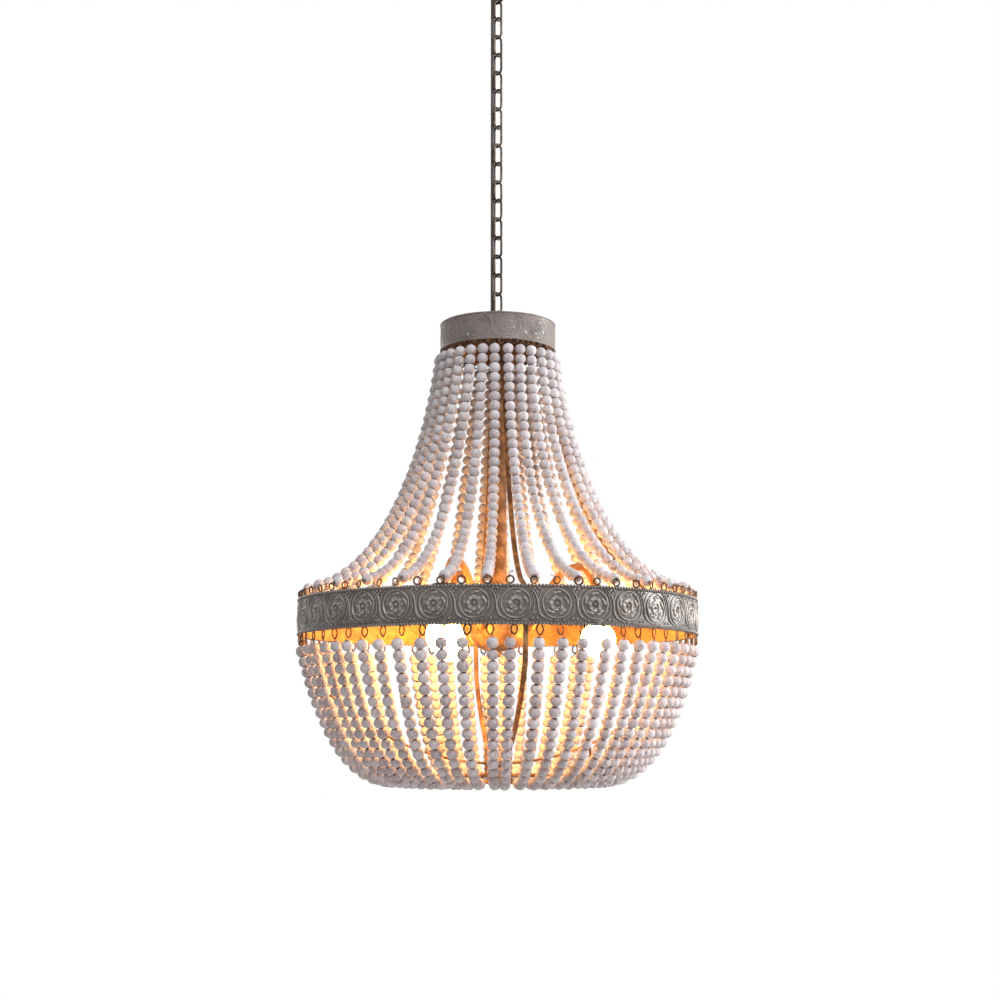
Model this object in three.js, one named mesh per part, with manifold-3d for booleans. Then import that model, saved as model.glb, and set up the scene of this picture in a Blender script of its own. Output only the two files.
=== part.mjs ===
// A beaded chandelier. A bell of wood-bead strands hangs from a small crown to a wide embossed band, and a bowl
// of swagged strands hangs under the band. Three lamps sit inside, and a link chain carries it all from a ceiling
// canopy. Millimetres, +Z up, with the ceiling at z = 0 and the axis of the chandelier on Z.

import * as THREE from 'three';
import { mergeVertices } from 'three/addons/utils/BufferGeometryUtils.js';
import Module from 'manifold-3d';

const wasm = await Module();
wasm.setup();

// Gap left between pieces that touch, and how far a cutter runs past the face that it cuts
const clearance = 0.3;
const overrun = 1;

// Ceiling fitting
const bracketLength = 104;
const bracketWidth = 28;
const bracketThickness = 3;
const bracketBossRadius = 11;
const bracketBossHeight = 9;
const bracketSlotSpacing = 72;
const bracketSlotLength = 14;
const bracketSlotWidth = 5.5;
const canopyRadius = 62;
const canopyDepth = 27;
const canopyWall = 1.5;
const hangerShankRadius = 5;
const hangerBaseRadius = 13;
const hangerBaseHeight = 14;
const hangerBaseRise = 5;
const hangerRingRadius = 11;
const hangerWire = 4;
const collarWall = 5;
const collarHeight = 9;

// Chain
const linkCount = 17;
const linkPitch = 25;
const linkWidth = 13.5;
const linkWire = 2.2;
const linkTurn = Math.PI / 4;

// Supply cord
const cordDiameter = 4.8;
const cordOffset = 7;
const cordHoleRadius = 3.3;
const cordIntoHanger = 12;
const cordIntoStem = 9;
const cordStepDiameters = 3;

// Crown
const crownRadius = 74;
const crownHeight = 35;
const crownWall = 2;
const crownRim = 3.2;
const crownPlateDepth = 3.5;
const crownPlateThickness = 3;
const crownRingRadius = 9.2;
const crownRingWire = 3.5;
const crownStubRadius = 4.4;
const crownStubHeight = 6;
const crownShankRadius = 3.2;
const crownRivetHeight = 2;

// Main band
const bellHeight = 318;
const bandRadius = 248.5;
const bandHeight = 45.5;
const bandWall = 2.4;
const bandRim = 4.4;
const rimProud = 2.2;

// Bead strands. A strand's plain bar has the cross section of its beads.
const strandCount = 60;
const groupCount = 5;
const strandTurn = THREE.MathUtils.degToRad(-91.6);
const strandWidth = 11.7;
const pinWidth = 2.2;
const pinStraight = 2;
const bandLoopHeight = 9;
const strandSeatRadius = 245;
const crownDrop = 8;
const crownSeatInset = 1;
const bowlDepth = 166;
const bowlLowestRadius = 135;
const bowlEndRadius = 128;
const stringRadius = 119.5;

// Frame inside the beads
const ribCount = 4;
const ribWidth = 6;
const ribThickness = 3;
const ribInset = 13;
const upperRibTab = 14;
const lowerRibTab = 18;
const tabSpacing = 4;
const lowerArcRadius = 298;
const lowerArcSag = 200;
const bossRadius = 12;
const bossHeight = 11;
const bottomRingWire = 5;
const postRadius = 2;

// Stem, hub and lamps
const stemRadius = 11;
const stemWall = 1.2;
const hubRadius = 36;
const hubHeight = 45;
const hubDrop = 18;
const hubNeckRadius = 15;
const knobRadius = 5;
const knobHeight = 7;
const lampCount = 3;
const lampCircle = 125;
const armDiameter = 9;
const armRootDrop = 13;
const armRise = 30;
const armStraight = 6;
const cupRadius = 23;
const cupHeight = 24;
const cupWall = 1.6;
const cupLift = 12;
const socketRadius = 13;
const socketLength = 30;
const socketBoreRadius = 7.4;
const socketBoreDepth = 24;
const bulbCapRadius = 7;
const bulbCapLength = 21;
const bulbNeckLength = 8;
const bulbGlobeRadius = 22;

// Facets
const roundFacets = 24;
const hubFacets = 16;
const smallFacets = 12;
const wireSides = 5;
const linkArcSteps = 4;
const bandFacets = 60;
const crownFacets = 30;
const ringFacets = 36;

// Heights worked out from the sizes above
const hangerBaseTop = -(canopyDepth - hangerBaseRise);
const hangerBaseBottom = hangerBaseTop - hangerBaseHeight;
const hangerRingSink = hangerWire / 2 - clearance;
const hangerRingZ = hangerBaseBottom - hangerRingRadius + hangerRingSink;
const hangerSeatZ = hangerRingZ - hangerRingRadius;
const linkStep = linkWire + clearance;
const linkReach = linkPitch + linkStep;
const firstLinkTop = hangerSeatZ + (hangerWire + linkWire) / 2 + clearance;
const lastLinkBottom = firstLinkTop - linkReach - (linkCount - 1) * linkPitch;
const crownRingTop = lastLinkBottom + (linkWire + crownRingWire) / 2 + clearance;
const crownRingZ = crownRingTop - crownRingRadius;
const crownPlateTop = crownRingZ - crownRingRadius - crownStubHeight + crownRingWire / 2;
const crownPlateBottom = crownPlateTop - crownPlateThickness;
const crownTop = crownPlateTop + crownPlateDepth;
const crownBottom = crownTop - crownHeight;
const bandTop = crownBottom - bellHeight;
const bandBottom = bandTop - bandHeight;
const bandOuterWall = bandRadius - rimProud;
const bandInner = bandOuterWall - bandWall;
const hubBottom = bandBottom - hubDrop;
const hubTop = hubBottom + hubHeight;

// Colours of the finished pieces
const agedMetal = new THREE.MeshStandardMaterial({ color: 0x5d5650, roughness: 0.6, metalness: 0.7 });
const crownMetal = new THREE.MeshStandardMaterial({ color: 0x87807c, roughness: 0.65, metalness: 0.6 });
const darkBronze = new THREE.MeshStandardMaterial({ color: 0x463e38, roughness: 0.5, metalness: 0.8 });
const frameMetal = new THREE.MeshStandardMaterial({ color: 0x4a3a2c, roughness: 0.6, metalness: 0.7 });
const upperWood = new THREE.MeshStandardMaterial({ color: 0xcdc8c8, roughness: 0.85, metalness: 0 });
const lowerWood = new THREE.MeshStandardMaterial({ color: 0xa39a9e, roughness: 0.85, metalness: 0 });
const cordCover = new THREE.MeshStandardMaterial({ color: 0x2c2523, roughness: 0.9, metalness: 0 });
const socketBody = new THREE.MeshStandardMaterial({ color: 0xe8e0cc, roughness: 0.5, metalness: 0 });
const bulbGlass = new THREE.MeshStandardMaterial({
  color: 0xfff0c0,
  roughness: 0.2,
  metalness: 0,
  emissive: 0xffc060,
});

function piece(name, geometry, material) {
  const mesh = new THREE.Mesh(geometry, material);
  mesh.name = name;
  return mesh;
}

function numbered(name, index) {
  return `${name}_${String(index + 1).padStart(2, '0')}`;
}

// Booleans on closed meshes
function toSolid(geometry) {
  const bare = geometry.clone();
  bare.deleteAttribute('normal');
  bare.deleteAttribute('uv');
  const merged = mergeVertices(bare, clearance / 1000);
  const vertProperties = new Float32Array(merged.attributes.position.array);
  const triVerts = new Uint32Array(merged.index.array);
  return new wasm.Manifold(new wasm.Mesh({ numProp: 3, vertProperties, triVerts }));
}

function toGeometry(solid) {
  const mesh = solid.getMesh();
  const geometry = new THREE.BufferGeometry();
  geometry.setAttribute('position', new THREE.BufferAttribute(mesh.vertProperties, mesh.numProp));
  geometry.setIndex(new THREE.BufferAttribute(mesh.triVerts, 1));
  return geometry;
}

function joined(geometries) {
  const [first, ...rest] = geometries.map(toSolid);
  return toGeometry(rest.reduce((whole, part) => whole.add(part), first));
}

function cut(geometry, cutters) {
  const solid = cutters.map(toSolid).reduce((whole, cutter) => whole.subtract(cutter), toSolid(geometry));
  return toGeometry(solid);
}

// A revolved profile of [radius, height] points, listed from its lowest outside point upward
function turned(profile, facets) {
  const points = profile.map(([r, z]) => new THREE.Vector2(r, z));
  const geometry = new THREE.LatheGeometry(points, facets);
  return geometry.rotateX(Math.PI / 2);
}

function closedProfile(profile) {
  return [...profile, profile[0]];
}

function rod(radius, low, high, facets) {
  const geometry = new THREE.CylinderGeometry(radius, radius, high - low, facets);
  return geometry.rotateX(Math.PI / 2).translate(0, 0, (low + high) / 2);
}

// Skins rings of points into a closed surface. Each ring runs counterclockwise as seen from the next one.
function skin(rings, isLoop) {
  const sides = rings[0].length;
  const index = [];
  const spans = isLoop ? rings.length : rings.length - 1;
  for (let i = 0; i < spans; i++) {
    const here = i * sides;
    const next = ((i + 1) % rings.length) * sides;
    for (let j = 0; j < sides; j++) {
      const k = (j + 1) % sides;
      index.push(here + j, here + k, next + k);
      index.push(here + j, next + k, next + j);
    }
  }
  if (!isLoop) {
    const last = (rings.length - 1) * sides;
    for (let j = 1; j < sides - 1; j++) {
      index.push(0, j + 1, j);
      index.push(last, last + j, last + j + 1);
    }
  }
  const geometry = new THREE.BufferGeometry();
  geometry.setFromPoints(rings.flat());
  geometry.setIndex(index);
  return geometry;
}

const squareSection = [[0.5, 0.5], [-0.5, 0.5], [-0.5, -0.5], [0.5, -0.5]];

function roundSection(sides) {
  const section = [];
  for (let i = 0; i < sides; i++) {
    const angle = (2 * Math.PI * i) / sides;
    section.push([Math.cos(angle) / 2, Math.sin(angle) / 2]);
  }
  return section;
}

// Rings of a bar along [radius, height, width, thickness] stations in the plane through the axis at azimuth 0
function barRings(stations, section) {
  const centres = stations.map(([r, z]) => new THREE.Vector3(r, 0, z));
  const across = new THREE.Vector3(0, 1, 0);
  return stations.map(([, , width, thickness], i) => {
    const before = centres[Math.max(i - 1, 0)];
    const after = centres[Math.min(i + 1, centres.length - 1)];
    const along = after.clone().sub(before).normalize();
    const outward = along.cross(across);
    return section.map(([u, v]) => centres[i].clone()
      .addScaledVector(across, u * width)
      .addScaledVector(outward, v * thickness));
  });
}

function meridianBar(stations, section) {
  return skin(barRings(stations, section), false);
}

// A closed wire oval that stands in the XZ plane, centred on the origin
function ovalLink(reach, width, wire) {
  const bend = (width - wire) / 2;
  const straight = reach / 2 - bend;
  const section = roundSection(wireSides);
  const across = new THREE.Vector3(0, 1, 0);
  const rings = [];
  for (let end = 0; end < 2; end++) {
    for (let i = 0; i <= linkArcSteps; i++) {
      const angle = Math.PI * (end + i / linkArcSteps);
      const outward = new THREE.Vector3(Math.cos(angle), 0, Math.sin(angle));
      const centre = outward.clone().multiplyScalar(bend);
      centre.z += end === 0 ? straight : -straight;
      rings.push(section.map(([u, v]) => centre.clone()
        .addScaledVector(outward, u * wire)
        .addScaledVector(across, v * wire)));
    }
  }
  return skin(rings, true);
}

function standingRing(radius, wire, height) {
  const ring = new THREE.TorusGeometry(radius, wire / 2, wireSides + 1, roundFacets / 2);
  return ring.rotateX(Math.PI / 2).translate(0, 0, height);
}

// An embossed hoop: a sheet wall with a rolled rim along each edge, standing on z = 0
function rimmedBand(outer, wall, height, rim, facets) {
  const face = outer - rimProud;
  const inner = face - wall;
  const edge = outer - rimProud / 3;
  return turned(closedProfile([
    [inner, 0],
    [edge, 0],
    [outer, rim / 2],
    [edge, rim],
    [face, rim],
    [face, height - rim],
    [edge, height - rim],
    [outer, height - rim / 2],
    [edge, height],
    [inner, height],
  ]), facets);
}

// Ceiling fitting: bracket, hanger, canopy and the collar ring that holds the canopy up
function ceilingBracket() {
  const bar = new THREE.BoxGeometry(bracketLength, bracketWidth, bracketThickness);
  bar.translate(0, 0, -bracketThickness / 2);
  const bossBottom = -(bracketThickness + bracketBossHeight);
  const boss = rod(bracketBossRadius, bossBottom, -bracketThickness / 2, smallFacets);
  const bore = rod(hangerShankRadius + clearance, bossBottom - overrun, -bracketThickness, smallFacets);
  const cutters = [bore];
  for (const side of [-1, 1]) {
    const slot = new THREE.BoxGeometry(bracketSlotLength, bracketSlotWidth, bracketThickness + 2 * overrun);
    cutters.push(slot.translate(side * bracketSlotSpacing / 2, 0, -bracketThickness / 2));
  }
  return piece('ceiling_bracket', cut(joined([bar, boss]), cutters), darkBronze);
}

function hanger() {
  const shankTop = -(bracketThickness + clearance);
  const shank = rod(hangerShankRadius, hangerBaseTop - overrun, shankTop, smallFacets);
  const base = rod(hangerBaseRadius, hangerBaseBottom, hangerBaseTop, roundFacets);
  const ring = standingRing(hangerRingRadius, hangerWire, hangerRingZ);
  const hole = rod(cordHoleRadius, hangerBaseBottom - overrun, hangerBaseTop + overrun, smallFacets);
  hole.rotateZ(linkTurn).translate(-cordOffset, 0, 0);
  const turnedRing = ring.rotateZ(-linkTurn);
  return piece('hanger', joined([cut(joined([shank, base]), [hole]), turnedRing]), darkBronze);
}

function canopy() {
  const hole = hangerBaseRadius + 2 * clearance;
  const rim = -clearance;
  const shoulderShare = 0.8;
  const flankShare = 0.55;
  const innerShoulder = canopyRadius * shoulderShare - canopyWall / 2;
  return piece('canopy', turned(closedProfile([
    [hole, -canopyDepth],
    [canopyRadius * shoulderShare, -canopyDepth],
    [canopyRadius - canopyWall, -canopyDepth * flankShare],
    [canopyRadius, rim],
    [canopyRadius - canopyWall, rim],
    [canopyRadius - 2 * canopyWall, -canopyDepth * flankShare],
    [innerShoulder, canopyWall - canopyDepth],
    [hole, canopyWall - canopyDepth],
  ]), roundFacets), darkBronze);
}

function collarRing() {
  const inner = hangerBaseRadius + clearance;
  const outer = inner + collarWall;
  const top = -canopyDepth - clearance;
  const bottom = top - collarHeight;
  const chamfer = collarWall / 2;
  return piece('collar_ring', turned(closedProfile([
    [inner, bottom],
    [outer - chamfer, bottom],
    [outer, bottom + chamfer],
    [outer, top],
    [inner, top],
  ]), roundFacets), darkBronze);
}

// Chain: each link holds the next one's wire a clearance away, so a joint's axis is the wire above
function chain() {
  const links = new THREE.Group();
  const shape = ovalLink(linkReach, linkWidth, linkWire);
  for (let i = 0; i < linkCount; i++) {
    const link = piece(numbered('chain_link', i), shape, darkBronze);
    link.position.z = firstLinkTop - linkReach / 2 - i * linkPitch;
    link.rotation.z = i % 2 === 0 ? linkTurn : -linkTurn;
    links.add(link);
  }
  return links;
}

function supplyCord() {
  const top = hangerBaseBottom + cordIntoHanger;
  const bottom = crownPlateBottom - cordIntoStem;
  const route = new THREE.LineCurve3(
    new THREE.Vector3(-cordOffset, 0, top),
    new THREE.Vector3(-cordOffset, 0, bottom),
  );
  const section = new THREE.Shape();
  const sides = 8;
  for (let i = 0; i < sides; i++) {
    const angle = (2 * Math.PI * i) / sides;
    const x = Math.cos(angle) * cordDiameter / 2;
    const y = Math.sin(angle) * cordDiameter / 2;
    if (i === 0) section.moveTo(x, y);
    else section.lineTo(x, y);
  }
  const steps = Math.round((top - bottom) / (cordStepDiameters * cordDiameter));
  const tube = new THREE.ExtrudeGeometry(section, { steps, extrudePath: route });
  return piece('supply_cord', tube, cordCover);
}

// Crown: band, plate and the loop riveted through the plate
function crownBand() {
  const hoop = rimmedBand(crownRadius, crownWall, crownHeight, crownRim, crownFacets);
  const band = piece('crown_band', hoop, crownMetal);
  band.position.z = crownBottom;
  return band;
}

function crownPlate() {
  const radius = crownRadius - rimProud - crownWall - clearance;
  const disc = rod(radius * Math.cos(Math.PI / crownFacets), crownPlateBottom, crownPlateTop, crownFacets);
  const [low, high] = [crownPlateBottom - overrun, crownPlateTop + overrun];
  const shankHole = rod(crownShankRadius + clearance, low, high, smallFacets);
  const cordHole = rod(cordHoleRadius, low, high, smallFacets).translate(-cordOffset, 0, 0);
  return piece('crown_plate', cut(disc, [shankHole, cordHole]), crownMetal);
}

function crownLoop() {
  const stub = rod(crownStubRadius, crownPlateTop + clearance, crownPlateTop + crownStubHeight, smallFacets);
  const rivetTop = crownPlateBottom - clearance;
  const shank = rod(crownShankRadius, rivetTop - crownRivetHeight, crownPlateTop + overrun, smallFacets);
  const rivet = rod(crownStubRadius, rivetTop - crownRivetHeight, rivetTop, smallFacets);
  const ring = standingRing(crownRingRadius, crownRingWire, crownRingZ).rotateZ(-linkTurn);
  return piece('crown_loop', joined([stub, shank, rivet, ring]), darkBronze);
}

// Bead strands
function bellCurve() {
  const outShare = 0.06;
  const fallShare = 0.332;
  const flareShare = 0.34;
  const footShare = 0.074;
  const run = strandSeatRadius - crownRadius;
  return new THREE.CubicBezierCurve(
    new THREE.Vector2(crownRadius + clearance, crownBottom - crownDrop),
    new THREE.Vector2(crownRadius + outShare * run, crownBottom - fallShare * bellHeight),
    new THREE.Vector2(crownRadius + flareShare * run, bandTop + footShare * bellHeight),
    new THREE.Vector2(strandSeatRadius - pinWidth, bandTop + bandLoopHeight),
  );
}

// The parameter of a hanging string that drops by the given depth over the given run from its lowest point
function stringParameter(run, depth) {
  const reach = 10;
  const halvings = 60;
  let low = run / reach;
  let high = run * reach;
  for (let i = 0; i < halvings; i++) {
    const middle = (low + high) / 2;
    if (middle * (Math.cosh(run / middle) - 1) > depth) low = middle;
    else high = middle;
  }
  return low;
}

const beadTop = bandBottom - bandLoopHeight;
const bowlParameter = stringParameter(strandSeatRadius - bowlLowestRadius, bowlDepth);

function bowlHeight(radius) {
  const hang = Math.cosh((radius - bowlLowestRadius) / bowlParameter) - 1;
  return beadTop - bowlDepth + bowlParameter * hang;
}

const stringHeight = bowlHeight(stringRadius);

// A comb of strands on the arc of string that they are tied to. The string is square, and each strand grows out of
// one face of it: face 0 is its underside and face 1 its outer side.
function strandComb(stations, string, face, strands, pitch) {
  const half = pinWidth / 2;
  const corners = [[-half, -half], [half, -half], [half, half], [-half, half]];
  const spread = half / string.radius;
  const points = [];
  const index = [];
  const quad = (a, b, c, d) => index.push(a, b, c, a, c, d);
  const arcStarts = [];
  for (let i = 0; i < strands; i++) {
    for (const side of [-1, 1]) {
      arcStarts.push(points.length);
      const angle = i * pitch + side * spread;
      for (const [outward, up] of corners) {
        const radius = string.radius + outward;
        const height = string.height + up;
        points.push(new THREE.Vector3(radius * Math.cos(angle), radius * Math.sin(angle), height));
      }
    }
  }
  for (let i = 0; i < arcStarts.length - 1; i++) {
    const [here, next] = [arcStarts[i], arcStarts[i + 1]];
    for (let j = 0; j < corners.length; j++) {
      const k = (j + 1) % corners.length;
      const carriesStrand = i % 2 === 0 && j === face;
      if (!carriesStrand) quad(here + j, next + j, next + k, here + k);
    }
  }
  const end = arcStarts[arcStarts.length - 1];
  quad(0, 1, 2, 3);
  quad(end + 3, end + 2, end + 1, end);
  const rings = barRings(stations, squareSection);
  for (let i = 0; i < strands; i++) {
    const [low, high] = [arcStarts[2 * i], arcStarts[2 * i + 1]];
    const start = points.length;
    const turn = new THREE.Matrix4().makeRotationZ(i * pitch);
    rings.forEach((ring) => ring.forEach((point) => points.push(point.clone().applyMatrix4(turn))));
    let before = [high + (face + 1) % 4, low + (face + 1) % 4, low + face, high + face];
    for (let ring = 0; ring < rings.length; ring++) {
      const after = [0, 1, 2, 3].map((corner) => start + ring * 4 + corner);
      for (let j = 0; j < 4; j++) {
        const k = (j + 1) % 4;
        quad(before[j], before[k], after[k], after[j]);
      }
      before = after;
    }
    quad(...before);
  }
  const geometry = new THREE.BufferGeometry();
  geometry.setFromPoints(points);
  geometry.setIndex(index);
  return geometry;
}

function strandGroups(name, shape, material) {
  const groups = new THREE.Group();
  for (let i = 0; i < groupCount; i++) {
    const group = piece(`${name}_${i + 1}`, shape, material);
    group.rotation.z = strandTurn + (2 * Math.PI * i) / groupCount;
    groups.add(group);
  }
  return groups;
}

function upperStrands() {
  const steps = 6;
  const lastBeadShare = 0.985;
  const curve = bellCurve();
  const string = {
    radius: crownRadius - crownSeatInset - pinWidth / 2,
    height: crownBottom - clearance - pinWidth / 2,
  };
  const stations = [];
  for (let i = 0; i <= steps; i++) {
    const point = curve.getPointAt(lastBeadShare * i / steps);
    stations.push([point.x, point.y, strandWidth, strandWidth]);
  }
  stations.push([strandSeatRadius, bandTop + clearance + pinStraight, pinWidth, pinWidth]);
  stations.push([strandSeatRadius, bandTop + clearance, pinWidth, pinWidth]);
  const strands = strandCount / 2 / groupCount;
  const shape = strandComb(stations, string, 0, strands, (4 * Math.PI) / strandCount);
  return strandGroups('upper_strands', shape, upperWood);
}

function lowerStrands() {
  const steps = 4;
  const string = { radius: stringRadius, height: stringHeight };
  const stations = [];
  const first = Math.sinh((bowlEndRadius - bowlLowestRadius) / bowlParameter);
  const last = Math.sinh((strandSeatRadius - bowlLowestRadius) / bowlParameter);
  for (let i = 0; i <= steps; i++) {
    const radius = bowlLowestRadius + bowlParameter * Math.asinh(first + (last - first) * i / steps);
    stations.push([radius, bowlHeight(radius), strandWidth, strandWidth]);
  }
  stations.push([strandSeatRadius, bandBottom - clearance, pinWidth, pinWidth]);
  const shape = strandComb(stations, string, 1, strandCount / groupCount, (2 * Math.PI) / strandCount);
  return strandGroups('lower_strands', shape, lowerWood);
}

// Frame inside the beads
const tabRadius = bandInner * Math.cos(Math.PI / bandFacets) - ribThickness / 2 - clearance;
const upperTabTop = bandTop - tabSpacing;
const lowerTabTop = upperTabTop - upperRibTab - tabSpacing;
const arcCentre = bandBottom + lowerArcRadius - lowerArcSag + bandHeight;

function lowerArcHeight(radius) {
  return arcCentre - Math.sqrt(lowerArcRadius ** 2 - radius ** 2);
}

function ribRing(name, shape) {
  const ribs = new THREE.Group();
  const halfPitch = Math.PI / strandCount;
  for (let i = 0; i < ribCount; i++) {
    const rib = piece(`${name}_${i + 1}`, shape, frameMetal);
    rib.rotation.z = strandTurn + 3 * halfPitch + (2 * Math.PI * i) / ribCount;
    ribs.add(rib);
  }
  return ribs;
}

function upperRibs() {
  const steps = 6;
  const lastShare = 0.9;
  const curve = bellCurve();
  const stations = [];
  for (let i = 0; i <= steps; i++) {
    const share = lastShare * i / steps;
    const point = curve.getPointAt(share);
    const along = curve.getTangentAt(share);
    stations.push([point.x + along.y * ribInset, point.y - along.x * ribInset, ribWidth, ribThickness]);
  }
  stations.unshift([stations[0][0], crownPlateBottom - clearance, ribWidth, ribThickness]);
  stations.push([tabRadius, upperTabTop, ribWidth, ribThickness]);
  stations.push([tabRadius, upperTabTop - upperRibTab, ribWidth, ribThickness]);
  return ribRing('upper_rib', meridianBar(stations, squareSection));
}

function lowerRibs() {
  const steps = 6;
  const outerShare = 0.97;
  const stations = [
    [tabRadius, lowerTabTop, ribWidth, ribThickness],
    [tabRadius, lowerTabTop - lowerRibTab, ribWidth, ribThickness],
  ];
  const outer = Math.asin((outerShare * tabRadius) / lowerArcRadius);
  const inner = Math.asin((bossRadius + clearance) / lowerArcRadius);
  for (let i = 0; i <= steps; i++) {
    const radius = lowerArcRadius * Math.sin(outer + (inner - outer) * i / steps);
    stations.push([radius, lowerArcHeight(radius), ribWidth, ribThickness]);
  }
  return ribRing('lower_rib', meridianBar(stations, squareSection));
}

function ribBoss() {
  const middle = lowerArcHeight(bossRadius);
  const chamfer = bossHeight / 4;
  return piece('rib_boss', turned([
    [0, middle - bossHeight / 2],
    [bossRadius - chamfer, middle - bossHeight / 2],
    [bossRadius, middle - bossHeight / 2 + chamfer],
    [bossRadius, middle + bossHeight / 2 - chamfer],
    [bossRadius - chamfer, middle + bossHeight / 2],
    [0, middle + bossHeight / 2],
  ], smallFacets), frameMetal);
}

function bottomRing() {
  const radius = stringRadius - pinWidth / 2 - clearance - bottomRingWire / 2;
  const ring = new THREE.TorusGeometry(radius, bottomRingWire / 2, wireSides, ringFacets);
  ring.translate(0, 0, stringHeight);
  const parts = [ring];
  const slopeRise = postRadius * radius / (arcCentre - lowerArcHeight(radius));
  const postTop = lowerArcHeight(radius) - ribThickness / 2 - slopeRise - clearance;
  for (let i = 0; i < ribCount; i++) {
    const post = rod(postRadius, stringHeight, postTop, wireSides + 1).translate(radius, 0, 0);
    parts.push(post.rotateZ((2 * Math.PI * i) / ribCount));
  }
  const ringPiece = piece('bottom_ring', joined(parts), frameMetal);
  ringPiece.rotation.z = strandTurn + (3 * Math.PI) / strandCount;
  return ringPiece;
}

// Stem, hub, arms and lamps
function stem() {
  const low = hubTop + clearance;
  const high = crownPlateBottom - clearance;
  return piece('stem', turned(closedProfile([
    [stemRadius - stemWall, low],
    [stemRadius, low],
    [stemRadius, high],
    [stemRadius - stemWall, high],
  ]), smallFacets), frameMetal);
}

function hub() {
  const bowlShares = [[0.45, 0.04], [0.78, 0.16], [0.97, 0.38], [1, 0.6]];
  const bowl = bowlShares.map(([r, h]) => [hubRadius * r, hubBottom + hubHeight * h]);
  return piece('hub', turned([
    [0, hubBottom - knobHeight],
    [knobRadius, hubBottom - knobHeight / 2],
    [knobRadius / 2, hubBottom],
    ...bowl,
    [hubRadius, hubTop - armRootDrop + armDiameter],
    [hubNeckRadius, hubTop - overrun],
    [hubNeckRadius, hubTop],
    [0, hubTop],
  ], hubFacets), frameMetal);
}

function mainBand() {
  const hoop = rimmedBand(bandRadius, bandWall, bandHeight, bandRim, bandFacets);
  const band = piece('main_band', hoop, agedMetal);
  band.position.z = bandBottom;
  return band;
}

const cupTop = bandTop + cupLift;
const socketTop = cupTop - cupWall - clearance;
const socketBottom = socketTop - socketLength;
const armHubHeight = hubTop - armRootDrop;

function arm() {
  const bendShares = [[0.22, 0.42], [0.5, 0.9], [0.8, 1], [0.96, 0.7]];
  const root = hubRadius + clearance;
  const run = lampCircle - root;
  const low = Math.min(armHubHeight, cupTop);
  const bend = bendShares.map(([r, h]) => [root + run * r, low + (cupTop + armRise - low) * h]);
  const stations = [
    [root, armHubHeight],
    [root + armStraight, armHubHeight],
    ...bend,
    [lampCircle, cupTop + clearance + armStraight],
    [lampCircle, cupTop + clearance],
  ];
  const sized = stations.map(([r, z]) => [r, z, armDiameter, armDiameter]);
  return meridianBar(sized, roundSection(wireSides + 1));
}

function lampCup() {
  return turned([
    [0, cupTop - cupWall],
    [socketRadius, cupTop - cupWall],
    [cupRadius - cupWall, cupTop - cupHeight],
    [cupRadius, cupTop - cupHeight],
    [socketRadius + cupWall, cupTop],
    [0, cupTop],
  ], smallFacets);
}

function lampSocket() {
  const bore = socketBottom + socketBoreDepth;
  return turned([
    [0, bore],
    [socketBoreRadius, bore],
    [socketBoreRadius, socketBottom],
    [socketRadius - cupWall, socketBottom],
    [socketRadius - cupWall, socketTop],
    [0, socketTop],
  ], smallFacets);
}

function bulb() {
  const capTop = socketBottom + bulbCapLength;
  const neckDepth = Math.sqrt(bulbGlobeRadius ** 2 - bulbCapRadius ** 2);
  const globe = socketBottom - bulbNeckLength - neckDepth;
  const profile = [];
  const steps = 5;
  const neckAngle = Math.PI - Math.asin((bulbCapRadius + cupWall) / bulbGlobeRadius);
  for (let i = 0; i <= steps; i++) {
    const angle = neckAngle * i / steps;
    const radius = i === 0 ? 0 : bulbGlobeRadius * Math.sin(angle);
    profile.push([radius, globe - bulbGlobeRadius * Math.cos(angle)]);
  }
  profile.push([bulbCapRadius, socketBottom - cupWall], [bulbCapRadius, capTop], [0, capTop]);
  return turned(profile, smallFacets);
}

function lamps() {
  const all = new THREE.Group();
  const [armShape, cupShape, socketShape, bulbShape] = [arm(), lampCup(), lampSocket(), bulb()];
  for (let i = 0; i < lampCount; i++) {
    const side = new THREE.Group();
    side.rotation.z = (2 * Math.PI * i) / lampCount;
    const lamp = new THREE.Group();
    lamp.position.x = lampCircle;
    lamp.add(
      piece(`lamp_cup_${i + 1}`, cupShape, darkBronze),
      piece(`lamp_socket_${i + 1}`, socketShape, socketBody),
      piece(`bulb_${i + 1}`, bulbShape, bulbGlass),
    );
    side.add(piece(`arm_${i + 1}`, armShape, darkBronze), lamp);
    all.add(side);
  }
  return all;
}

const model = new THREE.Group();
model.add(
  ceilingBracket(),
  hanger(),
  canopy(),
  collarRing(),
  chain(),
  supplyCord(),
  crownBand(),
  crownPlate(),
  crownLoop(),
  upperStrands(),
  lowerStrands(),
  upperRibs(),
  lowerRibs(),
  ribBoss(),
  bottomRing(),
  stem(),
  hub(),
  lamps(),
  mainBand(),
);

export default model;
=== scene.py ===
# Beaded chandelier: strands of wood beads on an embossed metal band, hung on a link chain beside its cord
import math
import random
import bmesh
import bpy
from mathutils import Matrix, Vector


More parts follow.
